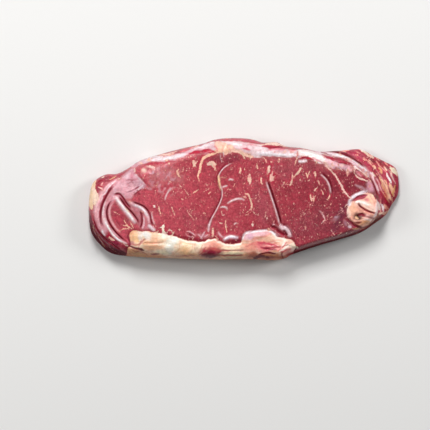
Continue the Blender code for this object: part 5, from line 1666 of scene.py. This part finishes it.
@dataclass(frozen=True)
class MoistMeat:
    """Raw meat with a wet surface: soft, faintly translucent, with a clear gloss.

    The lean has fine fibres and pale specks, the fat is smoother and mottled, and painted
    shade darkens the creases and low walls to a dark red. Colours, fat depth, skin and painted
    shade come from the mesh.
    """

    name: str = "moist raw bison meat"
    roughness_lean: float = 0.46
    roughness_fat: float = 0.52
    roughness_skin: float = 0.36
    roughness_shade: float = 0.4
    ior: float = 1.38
    specular: float = 0.08
    coat: float = 0.8
    coat_roughness: float = 0.12
    coat_ior: float = 1.4
    subsurface: float = 0.12
    subsurface_radius: tuple[float, float, float] = (1.0, 0.35, 0.25)
    subsurface_depth: float = 2.0
    speck_colour: str = "#D79488"
    shade_colour: str = "#9C3C5C"
    pore_depth: float = 0.16
    ripple_size: float = 3.2
    ripple_depth: float = 0.8
    speck_size: float = 0.9
    fibre_size: float = 0.35
    mottle_size: float = 5.0
    edge_size: float = 0.8
    edge_wander: float = 0.3

    def build(self) -> bpy.types.Material:
        """Builds the finish from the mesh's own layers and a few noises.

        Returns:
            The material.
        """
        material = bpy.data.materials.new(self.name)
        material.use_nodes = True
        tree = material.node_tree
        tree.nodes.clear()
        place = add_node(tree, "ShaderNodeTexCoord").outputs["Object"]

        def layer(name: str) -> bpy.types.Node:
            """Reads one of the mesh's layers."""
            return add_node(tree, "ShaderNodeAttribute", attribute_name=name)

        def noise(size: float, detail: float, vector: bpy.types.NodeSocket = place
                  ) -> bpy.types.NodeSocket:
            """A noise whose swells are about this many millimetres across."""
            node = add_node(tree, "ShaderNodeTexNoise", {"Vector": vector, "Detail": detail,
                            "Scale": 1.0 / (size * MILLIMETRE), "Roughness": 0.6})
            return node.outputs["Fac"]

        def spread(value: bpy.types.NodeSocket, low: float, high: float, to_low: float,
                   to_high: float) -> bpy.types.NodeSocket:
            """Maps a range of values to another, with smooth ends."""
            node = add_node(tree, "ShaderNodeMapRange", {
                "Value": value, "From Min": low, "From Max": high, "To Min": to_low,
                "To Max": to_high}, interpolation_type="SMOOTHSTEP")
            return node.outputs["Result"]

        def joined(kind: str, first: bpy.types.NodeSocket,
                   second: bpy.types.NodeSocket | float) -> bpy.types.NodeSocket:
            """The sum, difference, product or greater of two values."""
            return add_node(tree, "ShaderNodeMath", {0: first, 1: second},
                            operation=kind).outputs["Value"]

        def mix(share: bpy.types.NodeSocket | float, first: object, second: object,
                kind: str = "MIX") -> bpy.types.NodeSocket:
            """Blends two colours."""
            return add_node(tree, "ShaderNodeMix", {0: share, 6: first, 7: second},
                            data_type="RGBA", blend_type=kind).outputs[2]

        ragged = spread(noise(self.edge_size, 3.0), 0.25, 0.75, -self.edge_wander,
                        self.edge_wander)
        fat = spread(joined("ADD", layer("fat").outputs["Fac"], ragged), -0.12, 0.22, 0.0, 1.0)
        streaky = add_node(tree, "ShaderNodeMapping", {"Vector": place, "Scale": (1.0, 0.45, 1.0)})
        grain = noise(self.speck_size, 3.0, streaky.outputs["Vector"])
        specks = spread(grain, 0.58, 0.70, 0.0, 0.35)
        skin = joined("MULTIPLY", layer("veil").outputs["Fac"],
                      spread(noise(1.6, 4.0), 0.30, 0.62, 0.72, 1.0))

        mottle = joined("MULTIPLY", spread(noise(self.mottle_size, 4.0), 0.3, 0.7, 0.84, 1.12),
                        spread(noise(1.3, 3.0), 0.34, 0.66, 0.79, 1.17))
        fibre = spread(noise(self.fibre_size, 2.0, streaky.outputs["Vector"]), 0.3, 0.7,
                       0.86, 1.12)
        lean = mix(1.0, layer("lean").outputs["Color"], joined("MULTIPLY", mottle, fibre),
                   "MULTIPLY")
        lean = mix(specks, lean, (*linear(self.speck_colour), 1.0))
        pale_mottle = spread(noise(2.2, 4.0), 0.3, 0.7, 0.82, 1.08)
        pale = mix(1.0, layer("pale").outputs["Color"], pale_mottle, "MULTIPLY")
        meat = mix(joined("MAXIMUM", fat, skin), lean, pale)
        # Painted shade: the mesh's shade layer multiplies the colour towards shade_colour.
        gloom = mix(layer("shade").outputs["Fac"], (1.0, 1.0, 1.0, 1.0),
                    (*linear(self.shade_colour), 1.0))
        meat = mix(1.0, meat, gloom, "MULTIPLY")

        rough = spread(fat, 0.0, 1.0, self.roughness_lean, self.roughness_fat)
        rough = joined("SUBTRACT", rough, joined("MULTIPLY", skin,
                       self.roughness_lean - self.roughness_skin))
        rough = joined("ADD", rough, joined("MULTIPLY", layer("shade").outputs["Fac"],
                                            self.roughness_shade))
        relief = joined("ADD", joined("MULTIPLY", fat, 0.6),
                        joined("ADD", noise(0.5, 3.0), joined("MULTIPLY", grain, 1.2)))
        fine = add_node(tree, "ShaderNodeBump", {"Height": relief, "Strength": 0.8,
                        "Distance": self.pore_depth * MILLIMETRE}).outputs["Normal"]
        ripples = add_node(tree, "ShaderNodeBump", {
            "Height": noise(self.ripple_size, 2.0), "Strength": 0.7,
            "Distance": self.ripple_depth * MILLIMETRE, "Normal": fine}).outputs["Normal"]
        wet = joined("MULTIPLY", spread(layer("shade").outputs["Fac"], 0.0, 0.6, 1.0, 0.0),
                     self.coat)
        shader = add_node(tree, "ShaderNodeBsdfPrincipled", {
            "Base Color": meat, "Roughness": rough, "Normal": fine, "IOR": self.ior,
            "Specular IOR Level": self.specular, "Coat Weight": wet,
            "Coat Roughness": self.coat_roughness, "Coat IOR": self.coat_ior,
            "Coat Normal": ripples, "Subsurface Weight": self.subsurface,
            "Subsurface Radius": self.subsurface_radius,
            "Subsurface Scale": self.subsurface_depth * MILLIMETRE})
        add_node(tree, "ShaderNodeOutputMaterial", {"Surface": shader.outputs["BSDF"]})
        return material


@dataclass(frozen=True)
class PaleTop:
    """A plain matt white table top."""

    name: str = "matt white table top"
    colour: str = "#DDDCDA"

    def build(self) -> bpy.types.Material:
        """Builds the finish: white paint with a faint unevenness in its roughness.

        Returns:
            The material.
        """
        material = bpy.data.materials.new(self.name)
        material.use_nodes = True
        tree = material.node_tree
        shader = tree.nodes["Principled BSDF"]
        shader.inputs["Base Color"].default_value = (*linear(self.colour), 1.0)
        uneven = add_node(tree, "ShaderNodeTexNoise", {"Scale": 60.0, "Detail": 2.0})
        rough = add_node(tree, "ShaderNodeMapRange", {"Value": uneven.outputs["Fac"],
                         "To Min": 0.78, "To Max": 0.88})
        tree.links.new(rough.outputs["Result"], shader.inputs["Roughness"])
        return material


def add_node(tree: bpy.types.NodeTree, kind: str, sockets: dict | None = None,
             **settings: object) -> bpy.types.Node:
    """Adds a node with its settings and its links.

    Args:
        tree: The node tree of the material.
        kind: The node's type, such as "ShaderNodeMix".
        sockets: For each input's name or number, a value or the socket that feeds it.
        settings: The node's own properties.

    Returns:
        The new node.
    """
    node = tree.nodes.new(kind)
    for name, value in settings.items():
        setattr(node, name, value)
    for name, value in (sockets or {}).items():
        if isinstance(value, bpy.types.NodeSocket):
            tree.links.new(value, node.inputs[name])
        else:
            node.inputs[name].default_value = value
    return node


@dataclass
class StripSteak:
    """The whole steak as one closed piece."""

    name: str = "strip_steak"
    cells: tuple[int, int] = (410, 184)
    outline: Outline = field(default_factory=Outline)
    edge: Edge = field(default_factory=Edge)
    parts: tuple[object, ...] = field(default_factory=lambda: (
        Muscle(), Tail(), Marbling(), Silverskin(), WestFolds(), Lumps(), FatCap(), FatKnob(),
        Seams()))
    lower_chart: float = 0.29
    chart_margin: float = 0.01

    def sheet(self, face: Face, u: Array, v: Array) -> tuple[Sheet, Array]:
        """Works out one cut face: its parts lay their relief and colours one after another.

        Args:
            face: Which cut face.
            u: Shares along the steak of the sheet's points.
            v: Shares across it.

        Returns:
            The dressed sheet, and the height of its points in millimetres.
        """
        x, y = self.outline.place(u, v)
        sheet = Sheet(face, x, y)
        for part in self.parts:
            part.lay(sheet)
        on_rim = np.minimum(np.minimum(u, 1.0 - u), np.minimum(v, 1.0 - v)) < 1e-9
        return sheet, self.edge.heights(self.outline, sheet, on_rim)

    def fitted(self, points: Array) -> Array:
        """Scales the drawing, in millimetres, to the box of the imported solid, in metres."""
        low, high = points.min(axis=0), points.max(axis=0)
        box_low, box_high = (np.array(corner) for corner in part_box("steak"))
        return box_low + (points - low) * (box_high - box_low) / (high - low)

    def cells_of(self, numbers: Array, between: Array | None) -> Array:
        """The corners of each cell of a grid, anticlockwise from above, in rows of eight.

        Args:
            numbers: The grid's point numbers.
            between: For the lower sheet, the numbers of the finer upper grid, whose rim points
                lie between the corners of the outermost cells.

        Returns:
            Point numbers, with -1 where a cell has no point between two corners.
        """
        rows, columns = numbers.shape[0] - 1, numbers.shape[1] - 1
        rings = np.full((rows, columns, 8), -1)
        rings[..., 0], rings[..., 2] = numbers[:-1, :-1], numbers[1:, :-1]
        rings[..., 4], rings[..., 6] = numbers[1:, 1:], numbers[:-1, 1:]
        if between is not None:
            rings[:, 0, 1], rings[:, -1, 5] = between[1::2, 0], between[1::2, -1]
            rings[-1, :, 3], rings[0, :, 7] = between[-1, 1::2], between[0, 1::2]
        return rings.reshape(-1, 8)

    def build(self) -> bpy.types.Object:
        """Builds the steak's mesh, with its layers and its UV map, and dresses it.

        The upper sheet is a fine grid and the lower sheet a grid of half as many cells each way.
        They share the points of the rim, so the skin is closed.

        Returns:
            The steak.
        """
        columns, rows = self.cells
        u, v = (grid.ravel() for grid in np.meshgrid(np.linspace(0, 1, columns + 1),
                                                     np.linspace(0, 1, rows + 1), indexing="ij"))
        upper_numbers = np.arange(len(u)).reshape(columns + 1, rows + 1)
        lower_numbers = upper_numbers[::2, ::2].copy()
        low_u, low_v = (shares.reshape(upper_numbers.shape)[::2, ::2][1:-1, 1:-1].ravel()
                        for shares in (u, v))
        inner = lower_numbers[1:-1, 1:-1]
        inner[:] = len(u) + np.arange(inner.size).reshape(inner.shape)
        upper, top = self.sheet(Face.UPPER, u, v)
        lower, foot = self.sheet(Face.LOWER, low_u, low_v)
        points = np.vstack([np.column_stack([upper.x, upper.y, top]),
                            np.column_stack([lower.x, lower.y, foot])])

        rings = [self.cells_of(upper_numbers, None),
                 self.cells_of(lower_numbers, upper_numbers)[:, ::-1]]
        mesh = bpy.data.meshes.new(self.name)
        corners = np.concatenate([ring[ring >= 0] for ring in rings])
        counts = np.concatenate([(ring >= 0).sum(axis=1) for ring in rings])
        mesh.vertices.add(len(points))
        mesh.vertices.foreach_set("co", self.fitted(points).ravel())
        mesh.loops.add(len(corners))
        mesh.loops.foreach_set("vertex_index", corners.astype(np.int32))
        mesh.polygons.add(len(counts))
        mesh.polygons.foreach_set("loop_start", (np.cumsum(counts) - counts).astype(np.int32))
        mesh.update(calc_edges=True)

        self.add_layers(mesh, upper, lower)
        shares = np.column_stack([np.concatenate([u, low_u]), np.concatenate([v, low_v])])[corners]
        is_lower = np.arange(len(corners)) >= rings[0][rings[0] >= 0].size
        self.add_chart(mesh, shares, is_lower)
        mesh.shade_smooth()
        mesh.validate()
        mesh.materials.append(MoistMeat().build())
        steak = bpy.data.objects.new(self.name, mesh)
        bpy.context.scene.collection.objects.link(steak)
        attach(steak, "root")
        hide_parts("steak")
        log.info("%s: %d points, %d faces", self.name, len(points), len(counts))
        return steak

    def add_layers(self, mesh: bpy.types.Mesh, upper: Sheet, lower: Sheet) -> None:
        """Stores both sheets' layers on the mesh, for the finish to read.

        Args:
            mesh: The steak's mesh.
            upper: The dressed upper sheet.
            lower: The dressed lower sheet.
        """
        for name in ("lean", "pale"):
            colours = np.vstack([getattr(upper, name), getattr(lower, name)])
            layer = mesh.attributes.new(name, "FLOAT_COLOR", "POINT")
            opaque = np.column_stack([colours, np.ones(len(colours))])
            layer.data.foreach_set("color", opaque.ravel().astype(np.float32))
        for name in ("fat", "veil", "shade"):
            values = np.concatenate([getattr(upper, name), getattr(lower, name)])
            layer = mesh.attributes.new(name, "FLOAT", "POINT")
            layer.data.foreach_set("value", values.astype(np.float32))

    def add_chart(self, mesh: bpy.types.Mesh, shares: Array, is_lower: Array) -> None:
        """Adds the UV map: the upper sheet above, and the lower sheet in a strip below it.

        Args:
            mesh: The steak's mesh.
            shares: The shares u and v of each face corner.
            is_lower: True for the face corners of the lower sheet.
        """
        low, high = self.chart_margin, 1.0 - self.chart_margin
        start = np.where(is_lower, low, self.lower_chart + low)
        end = np.where(is_lower, self.lower_chart - low, high)
        chart = np.column_stack([low + (high - low) * shares[:, 0],
                                 start + (end - start) * shares[:, 1]])
        layer = mesh.uv_layers.new(name="OFBake")
        layer.data.foreach_set("uv", chart.ravel().astype(np.float32))


@dataclass
class Studio:
    """A white table top, soft lights round it, and a camera that looks straight down."""

    view_width: float = 0.2752
    view_middle: tuple[float, float] = (-0.01856, -0.01024)
    view_height: float = 2.0
    sharp_height: float = 0.014
    sensor: float = 36.0
    table_size: float = 8.0
    lights: tuple[tuple[str, tuple[float, float, float], float, float], ...] = (
        ("key", (-0.15, 0.85, 1.0), 0.45, 14.4),
        ("fill", (-1.0, 0.1, 0.8), 0.4, 5.6),
        ("east fill", (0.95, 0.35, 0.8), 0.4, 6.2),
    )
    sky: float = 0.12
    sky_colour: str = "#F6F8FA"
    far: float = 100.0

    def add_table(self) -> None:
        """Adds the table top under the steak's foot."""
        half = 0.5 * self.table_size
        mesh = bpy.data.meshes.new("table_top")
        mesh.from_pydata([(-half, -half, 0), (half, -half, 0), (half, half, 0), (-half, half, 0)],
                         [], [(0, 1, 2, 3)])
        mesh.materials.append(PaleTop().build())
        table = bpy.data.objects.new("table_top", mesh)
        bpy.context.scene.collection.objects.link(table)

    def add_lights(self) -> None:
        """Adds square soft lights that face the steak, and an even pale sky."""
        for name, place, size, power in self.lights:
            light = bpy.data.lights.new(name, "AREA")
            light.shape = "SQUARE"
            light.size = size
            light.energy = power
            lamp = bpy.data.objects.new(name, light)
            lamp.location = place
            lamp.rotation_euler = lamp.location.to_track_quat("Z", "Y").to_euler()
            lamp.visible_camera = False
            bpy.context.scene.collection.objects.link(lamp)
        world = bpy.data.worlds.new("pale sky")
        world.use_nodes = True
        background = world.node_tree.nodes["Background"]
        background.inputs["Color"].default_value = (*linear(self.sky_colour), 1.0)
        background.inputs["Strength"].default_value = self.sky
        bpy.context.scene.world = world

    def add_camera(self) -> None:
        """Adds the camera above the photographed middle, with a lens for the view's width."""
        data = bpy.data.cameras.new("camera")
        data.sensor_width = self.sensor
        data.sensor_fit = "HORIZONTAL"
        data.lens = self.sensor * (self.view_height - self.sharp_height) / self.view_width
        data.clip_end = self.far
        camera = bpy.data.objects.new("camera", data)
        camera.location = (*self.view_middle, self.view_height)
        bpy.context.scene.collection.objects.link(camera)
        bpy.context.scene.camera = camera
        bpy.context.scene.view_settings.view_transform = "Standard"

    def build(self) -> None:
        """Sets the scene round the steak."""
        self.add_table()
        self.add_lights()
        self.add_camera()
        log.info("studio: %d lights", len(self.lights))


def main() -> None:
    """Builds the steak and the studio round it."""
    logging.basicConfig(level=logging.INFO)
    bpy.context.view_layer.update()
    StripSteak().build()
    Studio().build()
    bpy.context.view_layer.update()


if __name__ == "__main__":
    main()
